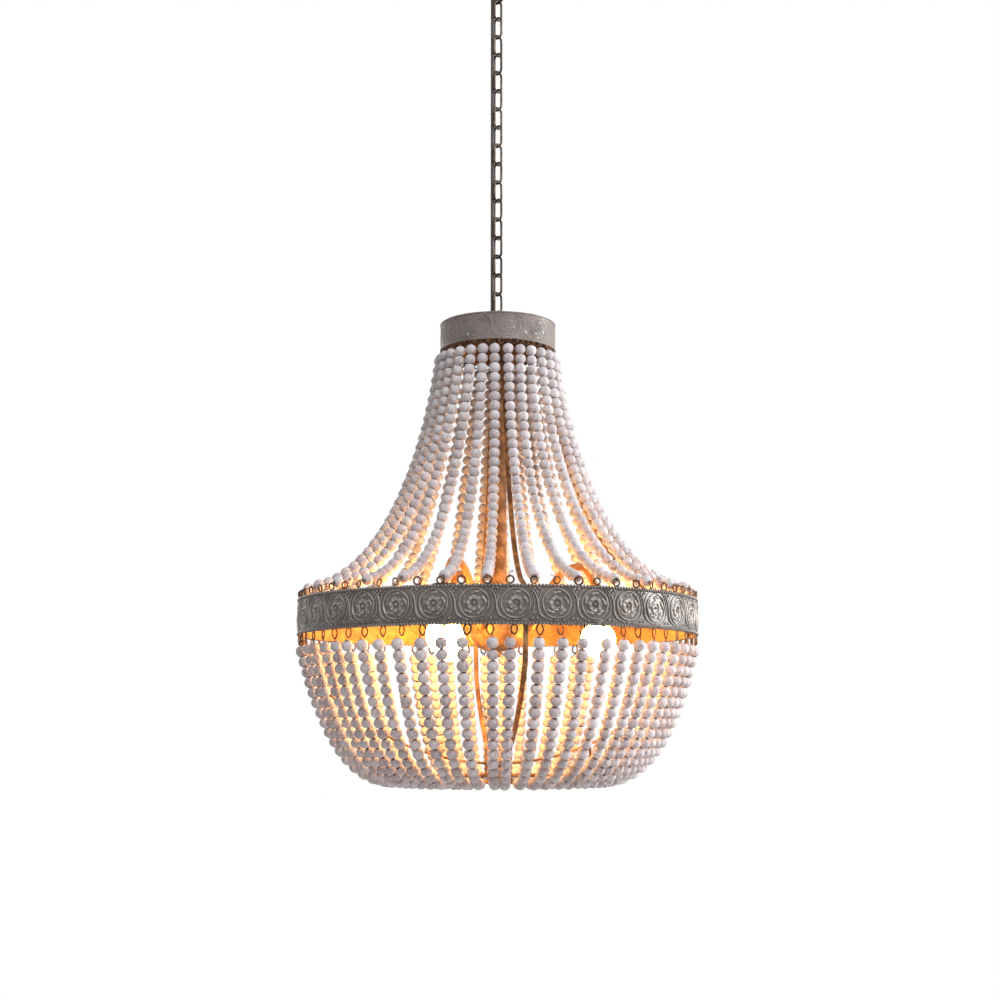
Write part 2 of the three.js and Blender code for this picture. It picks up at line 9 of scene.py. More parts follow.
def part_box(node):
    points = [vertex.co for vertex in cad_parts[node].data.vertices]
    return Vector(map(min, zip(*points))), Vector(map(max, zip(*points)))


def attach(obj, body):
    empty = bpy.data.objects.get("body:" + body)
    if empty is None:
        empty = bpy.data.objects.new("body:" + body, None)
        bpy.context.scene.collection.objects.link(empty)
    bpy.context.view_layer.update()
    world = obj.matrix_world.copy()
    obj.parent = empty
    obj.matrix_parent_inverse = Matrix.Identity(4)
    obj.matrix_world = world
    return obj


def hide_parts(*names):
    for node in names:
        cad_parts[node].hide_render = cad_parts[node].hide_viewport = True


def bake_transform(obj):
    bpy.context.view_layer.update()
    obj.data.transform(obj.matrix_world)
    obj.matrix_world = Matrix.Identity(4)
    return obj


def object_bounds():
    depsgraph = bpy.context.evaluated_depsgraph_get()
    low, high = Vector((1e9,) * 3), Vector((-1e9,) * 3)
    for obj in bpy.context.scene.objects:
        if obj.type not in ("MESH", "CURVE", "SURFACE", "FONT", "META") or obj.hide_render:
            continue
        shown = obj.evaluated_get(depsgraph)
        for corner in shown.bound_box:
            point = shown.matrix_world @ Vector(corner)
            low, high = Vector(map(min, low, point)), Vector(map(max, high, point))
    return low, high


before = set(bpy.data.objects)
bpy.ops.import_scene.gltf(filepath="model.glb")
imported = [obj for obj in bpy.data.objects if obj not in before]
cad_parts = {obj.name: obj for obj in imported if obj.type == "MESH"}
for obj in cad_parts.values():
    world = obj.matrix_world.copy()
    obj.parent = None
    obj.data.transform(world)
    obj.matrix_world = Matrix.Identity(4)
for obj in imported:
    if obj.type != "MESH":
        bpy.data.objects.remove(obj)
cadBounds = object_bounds()
mm = 0.001
print('frame loaded')


# Camera, at the photograph's viewing angle
cameraView = {
    'place': (0.0028, -1.9, -1.0),
    'pitch': 8.33,      # degrees above level
    'lens': 54.78,
}


def setCamera(view):
    lens = bpy.data.cameras.new('photo_camera')
    lens.lens = view['lens']
    lens.sensor_width = 36
    eye = bpy.data.objects.new('photo_camera', lens)
    eye.location = view['place']
    eye.rotation_euler = (math.radians(90 + view['pitch']), 0, 0)
    bpy.context.collection.objects.link(eye)
    bpy.context.scene.camera = eye


setCamera(cameraView)


# Node sums written as Python sums
class Wire:
    def __init__(self, graph, socket):
        self.graph = graph
        self.socket = socket

    def other(self, name):
        return Wire(self.graph, self.socket.node.outputs[name])

    def maths(self, operation, *values):
        return self.graph.maths(operation, self, *values)

    def __add__(self, value):
        return self.maths('ADD', value)

    def __sub__(self, value):
        return self.maths('SUBTRACT', value)

    def __mul__(self, value):
        return self.maths('MULTIPLY', value)

    def __truediv__(self, value):
        return self.maths('DIVIDE', value)

    def __rsub__(self, value):
        return self.graph.maths('SUBTRACT', value, self)

    def __rtruediv__(self, value):
        return self.graph.maths('DIVIDE', value, self)

    __radd__ = __add__
    __rmul__ = __mul__

    def between(self, low, high):
        # 0 at low, 1 at high, with soft ends
        values = {'Value': self, 'From Min': low, 'From Max': high}
        return self.graph.add('ShaderNodeMapRange', {'interpolation_type': 'SMOOTHSTEP'}, values)


class Graph:
    def __init__(self, tree):
        self.tree = tree

    def find(self, sockets, key):
        if isinstance(key, int):
            return sockets[key]
        return next(socket for socket in sockets if socket.name == key and socket.enabled)

    def add(self, kind, settings=None, values=None, output=None):
        node = self.tree.nodes.new(kind)
        for name, value in (settings or {}).items():
            setattr(node, name, value)
        pairs = enumerate(values) if isinstance(values, list) else (values or {}).items()
        for key, value in pairs:
            socket = self.find(node.inputs, key)
            if isinstance(value, Wire):
                self.tree.links.new(value.socket, socket)
            else:
                socket.default_value = value
        if output is not None:
            return Wire(self, self.find(node.outputs, output))
        return Wire(self, next((socket for socket in node.outputs if socket.enabled), None))

    def mix(self, share, low, high):
        return self.add('ShaderNodeMix', {'data_type': 'RGBA'}, {0: share, 6: low, 7: high}, output=2)

    def maths(self, operation, *values):
        return self.add('ShaderNodeMath', {'operation': operation}, list(values))

    def vectorMaths(self, operation, *values):
        return self.add('ShaderNodeVectorMath', {'operation': operation}, list(values))

    def noise(self, vector, scale, detail=3, roughness=0.5):
        values = {'Vector': vector, 'Scale': scale, 'Detail': detail, 'Roughness': roughness}
        return self.add('ShaderNodeTexNoise', None, values, output=0)

    def attribute(self, name, output='Fac'):
        return self.add('ShaderNodeAttribute', {'attribute_name': name}, output=output)

    def place(self):
        return self.add('ShaderNodeTexCoord', output='Object')

    def bump(self, height, strength, distance):
        values = {'Strength': strength, 'Distance': distance, 'Height': height}
        return self.add('ShaderNodeBump', None, values)


def tone(red, green, blue):
    # a colour as a screen shows it, 0 to 255
    shares = [value / 255 for value in (red, green, blue)]
    return tuple(((share + 0.055) / 1.055) ** 2.4 for share in shares) + (1,)


def clearedGraph(owner):
    owner.use_nodes = True
    owner.node_tree.nodes.clear()
    return Graph(owner.node_tree)


def finishOf(name, recipe):
    material = bpy.data.materials.new(name)
    graph = clearedGraph(material)
    surface = graph.add('ShaderNodeBsdfPrincipled', None, recipe(graph))
    graph.add('ShaderNodeOutputMaterial', None, {'Surface': surface})
    return material


# Finishes
# hole is the dark colour at each bead's ends: its drilled hole, and painted shade where it meets the next bead
upperWood = {
    'shade': tone(176, 168, 171),
    'wash': tone(217, 212, 214),
    'worn': tone(158, 141, 129),
    'hole': tone(128, 114, 108),
}
lowerWood = {
    'shade': tone(168, 154, 156),
    'wash': tone(220, 212, 214),
    'worn': tone(140, 114, 100),
    'hole': tone(96, 78, 72),
}


def washedWood(settings):
    # each bead turned from wood, with a thin uneven coat of wash over its grain
    def recipe(graph):
        grain = graph.attribute('grain', 'Vector')
        beadTone = graph.attribute('beadTone')
        own = graph.vectorMaths('ADD', graph.vectorMaths('MULTIPLY', grain, (2.2, 2.2, 0.8)),
                                graph.vectorMaths('MULTIPLY', beadTone, (37, 51, 23)))
        streaks = graph.noise(own, 2.4, 4, 0.62)
        blotches = graph.noise(own, 0.9, 2)
        colour = graph.mix((streaks + beadTone * 0.22).between(0.34, 0.8), settings['shade'], settings['wash'])
        colour = graph.mix(blotches.between(0.56, 0.72) * 0.5, colour, settings['worn'])
        # the ends of each bead are painted darker, for the drilled hole and for painted shade where it meets the next
        # bead
        along = graph.add('ShaderNodeSeparateXYZ', None, [grain], output='Z').maths('ABSOLUTE')
        colour = graph.mix(along.between(0.88, 0.97), colour, settings['hole'])
        fine = graph.noise(own, 9, 3, 0.7)
        return {
            'Base Color': colour,
            'Roughness': 0.72 + streaks * 0.2,
            'Normal': graph.bump(streaks + fine * 0.5, 0.35, 0.0006),
        }
    return recipe


bandMetal = {
    'hollow': tone(34, 29, 26),
    'field': tone(98, 90, 84),
    'raised': tone(172, 163, 155),
    'wash': tone(206, 200, 194),
    'washShare': 0.4,
    'patchShare': 0.35,
    'metallic': 0.35,
    'coat': 0.7,
}
crownMetal = {
    'hollow': tone(72, 70, 68),
    'field': tone(121, 110, 106),
    'raised': tone(150, 140, 134),
    'wash': tone(238, 234, 230),
    'washShare': 0.9,
    'patchShare': 0.75,
    'metallic': 0.3,
    'coat': 0.2,
}


def agedMetal(settings):
    # dark in the hollows and in the painted shade at the feet of raised cords and leaves, rubbed lighter on what
    # stands up, with flecks of old wash
    def recipe(graph):
        place = graph.place()
        relief = graph.attribute('relief')
        patches = graph.noise(place, 26, 4, 0.6)
        grit = graph.noise(place, 240, 4, 0.65)
        flecks = graph.noise(place, 95, 3, 0.7)
        height = relief + (grit - 0.5) * 0.9
        # hollow is both the patina in the hollows and the painted shade at the feet of raised cords and leaves
        colour = graph.mix(height.between(-0.5, 0.12), settings['hollow'], settings['field'])
        colour = graph.mix(height.between(0.3, 1.1), colour, settings['raised'])
        colour = graph.mix(patches.between(0.48, 0.66) * settings['patchShare'], colour, settings['hollow'])
        wash = flecks.between(0.61, 0.68) * patches.between(0.42, 0.6) * settings['washShare']
        colour = graph.mix(wash, colour, settings['wash'])
        return {
            'Base Color': colour,
            'Metallic': settings['metallic'] * (1 - wash),
            'Roughness': 0.5 + grit * 0.25,
            'Coat Weight': settings['coat'],
            'Coat Roughness': 0.3,
            'Normal': graph.bump(grit + patches * 0.6, 0.45, 0.0007),
        }
    return recipe


rubbed = {'clouds': 70, 'grain': 400, 'grainShare': 0.4, 'from': 0.4, 'to': 0.75, 'depth': 0.0003}
bronzeWire = {**rubbed, 'dark': tone(52, 43, 37), 'light': tone(112, 96, 80), 'metallic': 0.75, 'roughness': 0.38}
loopWire = {**rubbed, 'dark': tone(62, 42, 28), 'light': tone(136, 98, 62), 'metallic': 0.55, 'roughness': 0.4}
frameIron = {**rubbed, 'dark': tone(112, 76, 42), 'light': tone(186, 138, 86), 'metallic': 0.35, 'roughness': 0.5}
gilt = {'clouds': 32, 'grain': 300, 'grainShare': 0.3, 'from': 0.35, 'to': 0.65, 'depth': 0.0004,
        'dark': tone(150, 96, 44), 'light': tone(196, 138, 74), 'metallic': 0.3, 'roughness': 0.5}


def rubbedMetal(settings):
    # two tones in clouds, over a fine grain
    def recipe(graph):
        place = graph.place()
        clouds = graph.noise(place, settings['clouds'], 4, 0.6)
        grain = graph.noise(place, settings['grain'], 3, 0.6)
        share = (clouds + (grain - 0.5) * settings['grainShare']).between(settings['from'], settings['to'])
        return {
            'Base Color': graph.mix(share, settings['dark'], settings['light']),
            'Metallic': settings['metallic'],
            'Roughness': settings['roughness'] + clouds * 0.2,
            'Normal': graph.bump(grain + clouds, 0.3, settings['depth']),
        }
    return recipe


creamCeramic = {'clouds': 60, 'from': 0.3, 'to': 0.7, 'dark': tone(218, 208, 186), 'light': tone(238, 231, 214),
                'metallic': 0.0, 'roughness': 0.35, 'uneven': 0.1, 'bump': 0.1, 'depth': 0.0003}
brassCap = {'clouds': 220, 'from': 0.35, 'to': 0.7, 'dark': tone(168, 150, 120), 'light': tone(214, 196, 160),
            'metallic': 0.9, 'roughness': 0.28, 'uneven': 0.15, 'bump': 0.2, 'depth': 0.0002}


def cloudyFinish(settings):
    def recipe(graph):
        clouds = graph.noise(graph.place(), settings['clouds'])
        share = clouds.between(settings['from'], settings['to'])
        return {
            'Base Color': graph.mix(share, settings['dark'], settings['light']),
            'Metallic': settings['metallic'],
            'Roughness': settings['roughness'] + clouds * settings['uneven'],
            'Normal': graph.bump(clouds, settings['bump'], settings['depth']),
        }
    return recipe


cord = {'dark': tone(30, 25, 23), 'light': tone(66, 57, 52), 'roughness': 0.42}


def cordJacket(graph):
    # fine streaks along the cord
    streaks = graph.noise(graph.vectorMaths('MULTIPLY', graph.place(), (1, 1, 0.15)), 500, 2)
    return {
        'Base Color': graph.mix(streaks.between(0.4, 0.7), cord['dark'], cord['light']),
        'Roughness': cord['roughness'],
        'Normal': graph.bump(streaks, 0.2, 0.0002),
    }


glow = {
    'colour': tone(255, 188, 92),
    'strength': 100.0,
    'dark': tone(255, 236, 200),    # of the glass itself
    'light': tone(255, 246, 224),
}


def litGlass(graph):
    # frosted glass with the lamp lit inside
    frost = graph.noise(graph.place(), 150, 2)
    colour = graph.mix(frost, glow['dark'], glow['light'])
    return {
        'Base Color': colour,
        'Roughness': 0.3,
        'Emission Color': glow['colour'],
        'Emission Strength': glow['strength'],
        'Normal': graph.bump(frost, 0.05, 0.0002),
    }


finishes = {
    'upperWood': finishOf('pale_wood', washedWood(upperWood)),
    'lowerWood': finishOf('mauve_wood', washedWood(lowerWood)),
    'band': finishOf('band_metal', agedMetal(bandMetal)),
    'crown': finishOf('crown_metal', agedMetal(crownMetal)),
    'bronze': finishOf('dark_bronze', rubbedMetal(bronzeWire)),
    'loop': finishOf('loop_wire', rubbedMetal(loopWire)),
    'iron': finishOf('frame_iron', rubbedMetal(frameIron)),
    'gilt': finishOf('gilt_inside', rubbedMetal(gilt)),
    'cord': finishOf('cord_jacket', cordJacket),
    'ceramic': finishOf('cream_ceramic', cloudyFinish(creamCeramic)),
    'cap': finishOf('bulb_cap', cloudyFinish(brassCap)),
    'glass': finishOf('lit_glass', litGlass),
}
print('finishes made')


# Mesh helpers
def placed(name, mesh):
    piece = bpy.data.objects.new(name, mesh)
    bpy.context.collection.objects.link(piece)
    return piece


def tidied(mesh, sharpAngle):
    # doubles merged, faces outwards, smooth but for the sharp edges
    solid = bmesh.new()
    solid.from_mesh(mesh)
    bmesh.ops.remove_doubles(solid, verts=solid.verts, dist=0.01 * mm)
    bmesh.ops.recalc_face_normals(solid, faces=solid.faces)
    solid.to_mesh(mesh)
    solid.free()
    mesh.shade_smooth()
    mesh.set_sharp_from_angle(angle=math.radians(sharpAngle))


def solidPiece(name, points, faces, sharpAngle=40):
    mesh = bpy.data.meshes.new(name)
    mesh.from_pydata(points, [], faces)
    tidied(mesh, sharpAngle)
    return placed(name, mesh)


def rounded(outline, radius, steps=3):
    # an outline of (radius, height) points with its corners rounded, apart from those on the axis
    soft = []
    corners = [Vector(corner) for corner in outline]
    for index, corner in enumerate(corners):
        before = corners[index - 1] - corner
        after = corners[(index + 1) % len(corners)] - corner
        if corner.x < mm / 10:
            soft.append(tuple(corner))
            continue
        start = corner + before.normalized() * min(radius, 0.45 * before.length)
        end = corner + after.normalized() * min(radius, 0.45 * after.length)
        for step in range(steps + 1):
            share = step / steps
            point = start.lerp(corner, share).lerp(corner.lerp(end, share), share)
            soft.append(tuple(point))
    return soft


def turns(count):
    # even angles round the axis
    return [2 * math.pi * step / count for step in range(count)]


def polar(radius, angle, height):
    return (radius * math.cos(angle), radius * math.sin(angle), height)


def lathe(name, outline, around=64, centre=(0, 0), soft=None, steps=3):
    # an outline turned round the axis or another centre, its corners rounded by the soft radius
    if soft is not None:
        outline = rounded(outline, soft, steps)
    points = []
    faces = []
    count = len(outline)
    last = count if outline[0][0] > 0 or outline[-1][0] > 0 else count - 1
    for angle in turns(around):
        for radius, height in outline:
            points.append((centre[0] + radius * math.cos(angle), centre[1] + radius * math.sin(angle), height))
    for turn in range(around):
        here = turn * count
        there = (turn + 1) % around * count
        for index in range(last):
            after = (index + 1) % count
            faces.append((here + index, there + index, there + after, here + after))
    return solidPiece(name, points, faces)


def tubeFaces(rows, around):
    # faces between rows of points that each go round
    faces = []
    for row in range(rows):
        for side in range(around):
            after = (side + 1) % around
            faces.append((row * around + side, (row + 1) * around + side,
                          (row + 1) * around + after, row * around + after))
    return faces


def joined(name, pieces):
    with bpy.context.temp_override(active_object=pieces[0], selected_editable_objects=pieces):
        bpy.ops.object.join()
    pieces[0].name = name
    return pieces[0]


def smoothLine(points, steps):
    # a soft line through the points
    points = [Vector(point) for point in points]
    line = []
    for index in range(len(points) - 1):
        a = points[max(index - 1, 0)]
        b = points[index]
        c = points[index + 1]
        d = points[min(index + 2, len(points) - 1)]
        for step in range(steps):
            t = step / steps
            line.append(0.5 * (2 * b + (c - a) * t + (2 * a - 5 * b + 4 * c - d) * t ** 2
                               + (3 * b - a - 3 * c + d) * t ** 3))
    return line + [points[-1]]


def dress(piece, finish, slot, body='fixture', nodes=()):
    # a piece's finish, unless it has one already, and its body; the slot is not used, and the solids that it stands
    # for are hidden
    if finish is not None:
        piece.data.materials.clear()
        piece.data.materials.append(finishes[finish])
    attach(piece, body)
    if nodes:
        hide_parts(*nodes)


# Geometry Nodes: one tree for beads on a strand, one for what stands round the axis, one for wires and bars
def newTree(name, sockets):
    tree = bpy.data.node_groups.new(name, 'GeometryNodeTree')
    tree.interface.new_socket(name='Guide', in_out='INPUT', socket_type='NodeSocketGeometry')
    for label, value in sockets.items():
        kind = 'NodeSocketInt' if isinstance(value, int) else 'NodeSocketFloat'
        socket = tree.interface.new_socket(name=label, in_out='INPUT', socket_type=kind)
        socket.default_value = value
    tree.interface.new_socket(name='Finish', in_out='INPUT', socket_type='NodeSocketMaterial')
    tree.interface.new_socket(name='Geometry', in_out='OUTPUT', socket_type='NodeSocketGeometry')
    graph = Graph(tree)
    return graph, graph.add('NodeGroupInput')


def endTree(graph, given, geometry):
    real = graph.add('GeometryNodeRealizeInstances', None, {0: geometry})
    values = {'Geometry': real, 'Material': given.other('Finish')}
    graph.add('NodeGroupOutput', None, [graph.add('GeometryNodeSetMaterial', None, values)])
    return graph.tree


def randomly(graph, seed, low, high):
    return graph.add('FunctionNodeRandomValue', {'data_type': 'FLOAT'}, {'Min': low, 'Max': high, 'Seed': seed})


def beadTree():
    graph, given = newTree('bead_strands', {
        'Bead Width': 13.2 * mm,
        'Bead Squash': 0.924,
        'Beads per Strand': 29,
        'Size Spread': 0.035,
        'Tilt': 0.12,
        'Seed': 1,
    })
    seed = given.other('Seed')
    width = given.other('Bead Width')
    ball = graph.add('GeometryNodeMeshUVSphere', None, {'Segments': 12, 'Rings': 8, 'Radius': width / 2})
    ball = graph.add('GeometryNodeSetShadeSmooth', None, {'Geometry': ball})
    spot = graph.add('GeometryNodeInputPosition')
    unit = graph.add('ShaderNodeVectorMath', {'operation': 'SCALE'}, {'Vector': spot, 'Scale': 2 / width})
    ball = graph.add('GeometryNodeStoreNamedAttribute', {'data_type': 'FLOAT_VECTOR', 'domain': 'POINT'},
                     {'Geometry': ball, 'Name': 'grain', 'Value': unit})
    strand = graph.add('GeometryNodeMeshToCurve', None, {0: given.other('Guide')})
    strand = graph.add('GeometryNodeResampleCurve', {'mode': 'COUNT'},
                       {'Curve': strand, 'Count': given.other('Beads per Strand')})
    along = graph.add('FunctionNodeAlignRotationToVector', {'axis': 'Z'},
                      {'Vector': graph.add('GeometryNodeInputTangent')})
    tilt = given.other('Tilt')
    spin = graph.add('ShaderNodeCombineXYZ', None, [
        tilt * randomly(graph, seed, -1.0, 1.0),
        tilt * randomly(graph, seed + 1, -1.0, 1.0),
        randomly(graph, seed + 2, 0.0, 2 * math.pi),
    ])
    spin = graph.add('FunctionNodeEulerToRotation', None, [spin])
    turn = graph.add('FunctionNodeRotateRotation', {'rotation_space': 'LOCAL'}, [along, spin])
    size = 1 + given.other('Size Spread') * randomly(graph, seed + 3, -1.0, 1.0)
    scale = graph.add('ShaderNodeCombineXYZ', None, [size, size, size * given.other('Bead Squash')])
    beads = graph.add('GeometryNodeInstanceOnPoints', None,
                      {'Points': strand, 'Instance': ball, 'Rotation': turn, 'Scale': scale})
    beads = graph.add('GeometryNodeStoreNamedAttribute', {'data_type': 'FLOAT', 'domain': 'INSTANCE'},
                      {'Geometry': beads, 'Name': 'beadTone', 'Value': randomly(graph, seed + 4, 0.0, 1.0)})
    return endTree(graph, given, beads)


def aroundTree():
    # copies of the guide's own shape, which is made at angle 0
    graph, given = newTree('stand_round_the_axis', {
        'Count': 60,
        'First Angle': 0.0,
        'Angle Spread': 0.0,
        'Radius': 0.0,
        'Height': 0.0,
        'Lean': 0.0,
        'Twist': 0.0,
        'Size Spread': 0.0,
        'Seed': 1,
    })
    seed = given.other('Seed')
    step = 2 * math.pi / given.other('Count')
    angle = graph.add('GeometryNodeInputIndex') * step + given.other('First Angle')
    angle = angle + given.other('Angle Spread') * randomly(graph, seed, -1.0, 1.0)
    radius = given.other('Radius')
    place = graph.add('ShaderNodeCombineXYZ', None, [
        radius * angle.maths('COSINE'),
        radius * angle.maths('SINE'),
        given.other('Height'),
    ])
    points = graph.add('GeometryNodePoints', None, {'Count': given.other('Count'), 'Position': place})
    turn = graph.add('ShaderNodeCombineXYZ', None, [
        given.other('Lean') * randomly(graph, seed + 1, -1.0, 1.0),
        given.other('Lean') * randomly(graph, seed + 2, -1.0, 1.0),
        angle + given.other('Twist') * randomly(graph, seed + 3, -1.0, 1.0),
    ])
    turn = graph.add('FunctionNodeEulerToRotation', None, [turn])
    size = 1 + given.other('Size Spread') * randomly(graph, seed + 4, -1.0, 1.0)
    copies = graph.add('GeometryNodeInstanceOnPoints', None,
                       {'Points': points, 'Instance': given.other('Guide'), 'Rotation': turn, 'Scale': size})
    return endTree(graph, given, copies)


def sweepTree():
    graph, given = newTree('wires_and_bars', {
        'Width': 2 * mm,
        'Thickness': 2 * mm,
        'Corner': 1.0,
        'Corner Steps': 2,
    })
    width = given.other('Width')
    thickness = given.other('Thickness')
    line = graph.add('GeometryNodeMeshToCurve', None, {0: given.other('Guide')})
    section = graph.add('GeometryNodeCurvePrimitiveQuadrilateral', None, {'Width': width, 'Height': thickness})
    corner = width.maths('MINIMUM', thickness) * given.other('Corner') * 0.49
    section = graph.add('GeometryNodeFilletCurve', {'mode': 'POLY'},
                        {'Curve': section, 'Count': given.other('Corner Steps'), 'Radius': corner})
    bar = graph.add('GeometryNodeCurveToMesh', None,
                    {'Curve': line, 'Profile Curve': section, 'Fill Caps': True})
    bar = graph.add('GeometryNodeSetShadeSmooth', None, {'Geometry': bar})
    return endTree(graph, given, bar)


trees = {'beads': beadTree(), 'around': aroundTree(), 'sweep': sweepTree()}


def grown(piece, tree, finish, settings, sharpAngle=None):
    # the tree's result, kept as a plain mesh in place of the guide
    modifier = piece.modifiers.new('grow', 'NODES')
    modifier.node_group = trees[tree]
    for item in trees[tree].interface.items_tree:
        if item.in_out == 'INPUT' and item.name in settings:
            modifier[item.identifier] = settings[item.name]
        if item.in_out == 'INPUT' and item.name == 'Finish':
            modifier[item.identifier] = finishes[finish]
    depsgraph = bpy.context.evaluated_depsgraph_get()
    mesh = bpy.data.meshes.new_from_object(
        piece.evaluated_get(depsgraph), preserve_all_data_layers=True, depsgraph=depsgraph)
    piece.modifiers.remove(modifier)
    mesh.name = piece.name
    piece.data = mesh
    if sharpAngle is not None:
        tidied(mesh, sharpAngle)
    return piece


def guide(name, lines, closed=False):
    points = []
    edges = []
    for line in lines:
        first = len(points)
        points += [tuple(point) for point in line]
        edges += [(first + index, first + index + 1) for index in range(len(line) - 1)]
        if closed:
            edges.append((len(points) - 1, first))
    mesh = bpy.data.meshes.new(name)
    mesh.from_pydata(points, edges, [])
    return placed(name, mesh)


def wire(name, lines, thickness, finish, closed=False):
    settings = {'Width': thickness, 'Thickness': thickness}
    return grown(guide(name, lines, closed), 'sweep', finish, settings, sharpAngle=60)


def ringLine(radius, height, turn, steps=40):
    # a standing ring round the axis, its plane turned about Z
    return [polar(radius * math.sin(angle), turn, height + radius * math.cos(angle)) for angle in turns(steps)]


# Places read from the frame
def heights(node):
    low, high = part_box(node)
    return low.z, high.z


def reach(node):
    low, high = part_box(node)
    return max(high.x, high.y, -low.x, -low.y)


crownBottom, crownTop = heights('crown_band')
plateBottom, plateTop = heights('crown_plate')
bandBottom, bandTop = heights('main_band')
hubBottom, hubTop = heights('hub')
crownRadius = reach('crown_band')
bandRadius = reach('main_band')
print('places read')


# Supply cord, in stretches that match the links of the chain beside it
cordSettings = {
    'offset': -7 * mm,
    'diameter': 4.8 * mm,
    'around': 14,
    'step': 2.5 * mm,
    'lap': 5.6 * mm,            # how far a stretch reaches into the next one
    'lapShare': 0.9,            # the lap's thickness
    'firstBreak': 11.6 * mm,    # from the first joint down to the first lap
}
chainBodies = [f'link_{index + 1:02d}' for index in range(17)]
firstJoint = -56.3 * mm
linkPitch = 25 * mm


def cordStretch(name, top, bottom, bodies):
    offset = cordSettings['offset']
    end = bottom if bodies[-1] == 'fixture' else bottom - cordSettings['lap']
    rows = max(4, round((top - end) / cordSettings['step']))
    around = cordSettings['around']
    levels = [top + (end - top) * row / rows for row in range(rows + 1)]
    points = []
    for height in levels:
        slim = height < bottom - mm / 5
        radius = cordSettings['diameter'] / 2 * (cordSettings['lapShare'] if slim else 1)
        points += [(offset + radius * math.cos(angle), radius * math.sin(angle), height) for angle in turns(around)]
    caps = [tuple(range(around)), tuple(reversed(range(rows * around, (rows + 1) * around)))]
    piece = solidPiece(name, points, tubeFaces(rows, around) + caps, 60)
    piece.data.materials.append(finishes['cord'])
    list(bodies)
    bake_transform(piece)
    top - end
    return piece


def supplyCord():
    bottom, top = heights('supply_cord')
    bodies = ['ceiling', *chainBodies, 'fixture']
    breaks = [top, firstJoint - cordSettings['firstBreak']]
    while len(breaks) < len(bodies) - 1:
        breaks.append(breaks[-1] - linkPitch)
    breaks.append(bottom)
    for index, (start, end) in enumerate(zip(breaks, breaks[1:])):
        piece = cordStretch(f'supply_cord_{index + 1:02d}', start, end, bodies[index:index + 2])
        if index == 0:
            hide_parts('supply_cord')


supplyCord()
print('cord made')


# Ceiling fitting and chain
fitting = {
    'shank': 5 * mm,            # radius of the hanger's shank
    'shankTop': -3.3 * mm,
    'baseSeat': 0.3 * mm,       # from the collar ring's foot to the hanger's
    'baseRise': 5.3 * mm,       # from the collar ring's top to the hanger base's
    'ringRadius': 11 * mm,
    'ringWire': 4 * mm,
    'canopyWall': 1.5 * mm,
    'canopyHole': 13.6 * mm,
    'canopyEdge': 6 * mm,       # how softly its edges are rounded
    'collarWall': 5 * mm,
    'collarEase': 2.5 * mm,     # the slope at the collar's foot
}


def stemAndRing(name, stem, radius, height, thickness):
    line = ringLine(radius, height, -math.pi / 4)
    return joined(name, [stem, wire('standing_ring', [line], thickness, 'bronze', closed=True)])


def hanger():
    collarLow, collarHigh = heights('collar_ring')
    low, high = collarLow + fitting['baseSeat'], collarHigh + fitting['baseRise']
    base = reach('hanger')
    shank, top = fitting['shank'], fitting['shankTop']
    outline = [(0, low), (base, low), (base, high), (shank, high), (shank, top), (0, top)]
    stem = lathe('hanger', outline, 48, soft=1.2 * mm)
    height = heights('hanger')[0] + fitting['ringWire'] / 2 + fitting['ringRadius']
    piece = stemAndRing('hanger_with_ring', stem, fitting['ringRadius'], height, fitting['ringWire'])
    dress(piece, 'bronze', 'dark_bronze', 'ceiling', ['hanger'])


def canopy():
    low, high = heights('canopy')
    radius = reach('canopy')
    wall = fitting['canopyWall']
    hole = fitting['canopyHole']
    outline = [
        (hole, low), (radius * 0.8, low), (radius - 0.8 * wall, low * 0.55), (radius, high),
        (radius - wall, high), (radius - 1.8 * wall, low * 0.55), (radius * 0.8 - wall / 2, low + wall),
        (hole, low + wall),
    ]
    bowl = lathe('canopy_bowl', outline, 96, soft=fitting['canopyEdge'], steps=5)
    outline = [(hole + 7 * mm, low), (hole + 9 * mm, low - 0.1 * mm), (hole + 11 * mm, low),
               (hole + 9 * mm, low + mm)]
    bead = lathe('canopy_bead', outline, 72, soft=mm)
    dress(joined('canopy_cover', [bowl, bead]), 'bronze', 'dark_bronze', 'canopy', ['canopy'])


def collar():
    low, high = heights('collar_ring')
    outer = reach('collar_ring')
    inner = outer - fitting['collarWall']
    ease = fitting['collarEase']
    middle = (low + high) / 2
    outline = [(inner, low), (outer - ease, low), (outer, low + ease), (outer, middle - mm),
               (outer - 0.7 * mm, middle), (outer, middle + mm), (outer, high), (inner, high)]
    dress(lathe('canopy_collar', outline, soft=0.6 * mm), 'bronze', 'dark_bronze', 'canopy', ['collar_ring'])


linkSettings = {
    'wire': 3 * mm,
    'width': 12.6 * mm,     # width and reach along the wire's middle
    'reach': 28.2 * mm,
}


def linkLine(low, high, width, turn, steps=15):
    # an oval of two straight sides and two round ends
    half = width / 2
    line = []
    for start, middle in ((0, high - half), (math.pi, low + half)):
        for step in range(steps + 1):
            angle = start + math.pi * step / steps
            line.append(polar(half * math.cos(angle), turn, middle + half * math.sin(angle)))
    return line


def chainLinks():
    half = linkSettings['reach'] / 2
    for index, body in enumerate(chainBodies):
        node = f'chain_link_{index + 1:02d}'
        middle = sum(heights(node)) / 2
        turn = math.pi / 4 * (-1) ** index      # each a quarter round from the one before
        line = linkLine(middle - half, middle + half, linkSettings['width'], turn)
        link = wire(f'{body}_wire', [line], linkSettings['wire'], 'bronze', closed=True)
        dress(link, None, 'dark_bronze', body, [node])


hanger()
canopy()
collar()
chainLinks()
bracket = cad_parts['ceiling_bracket']
bracket.data.materials.clear()
bracket.data.materials.append(finishes['bronze'])
print('chain and ceiling fitting made')


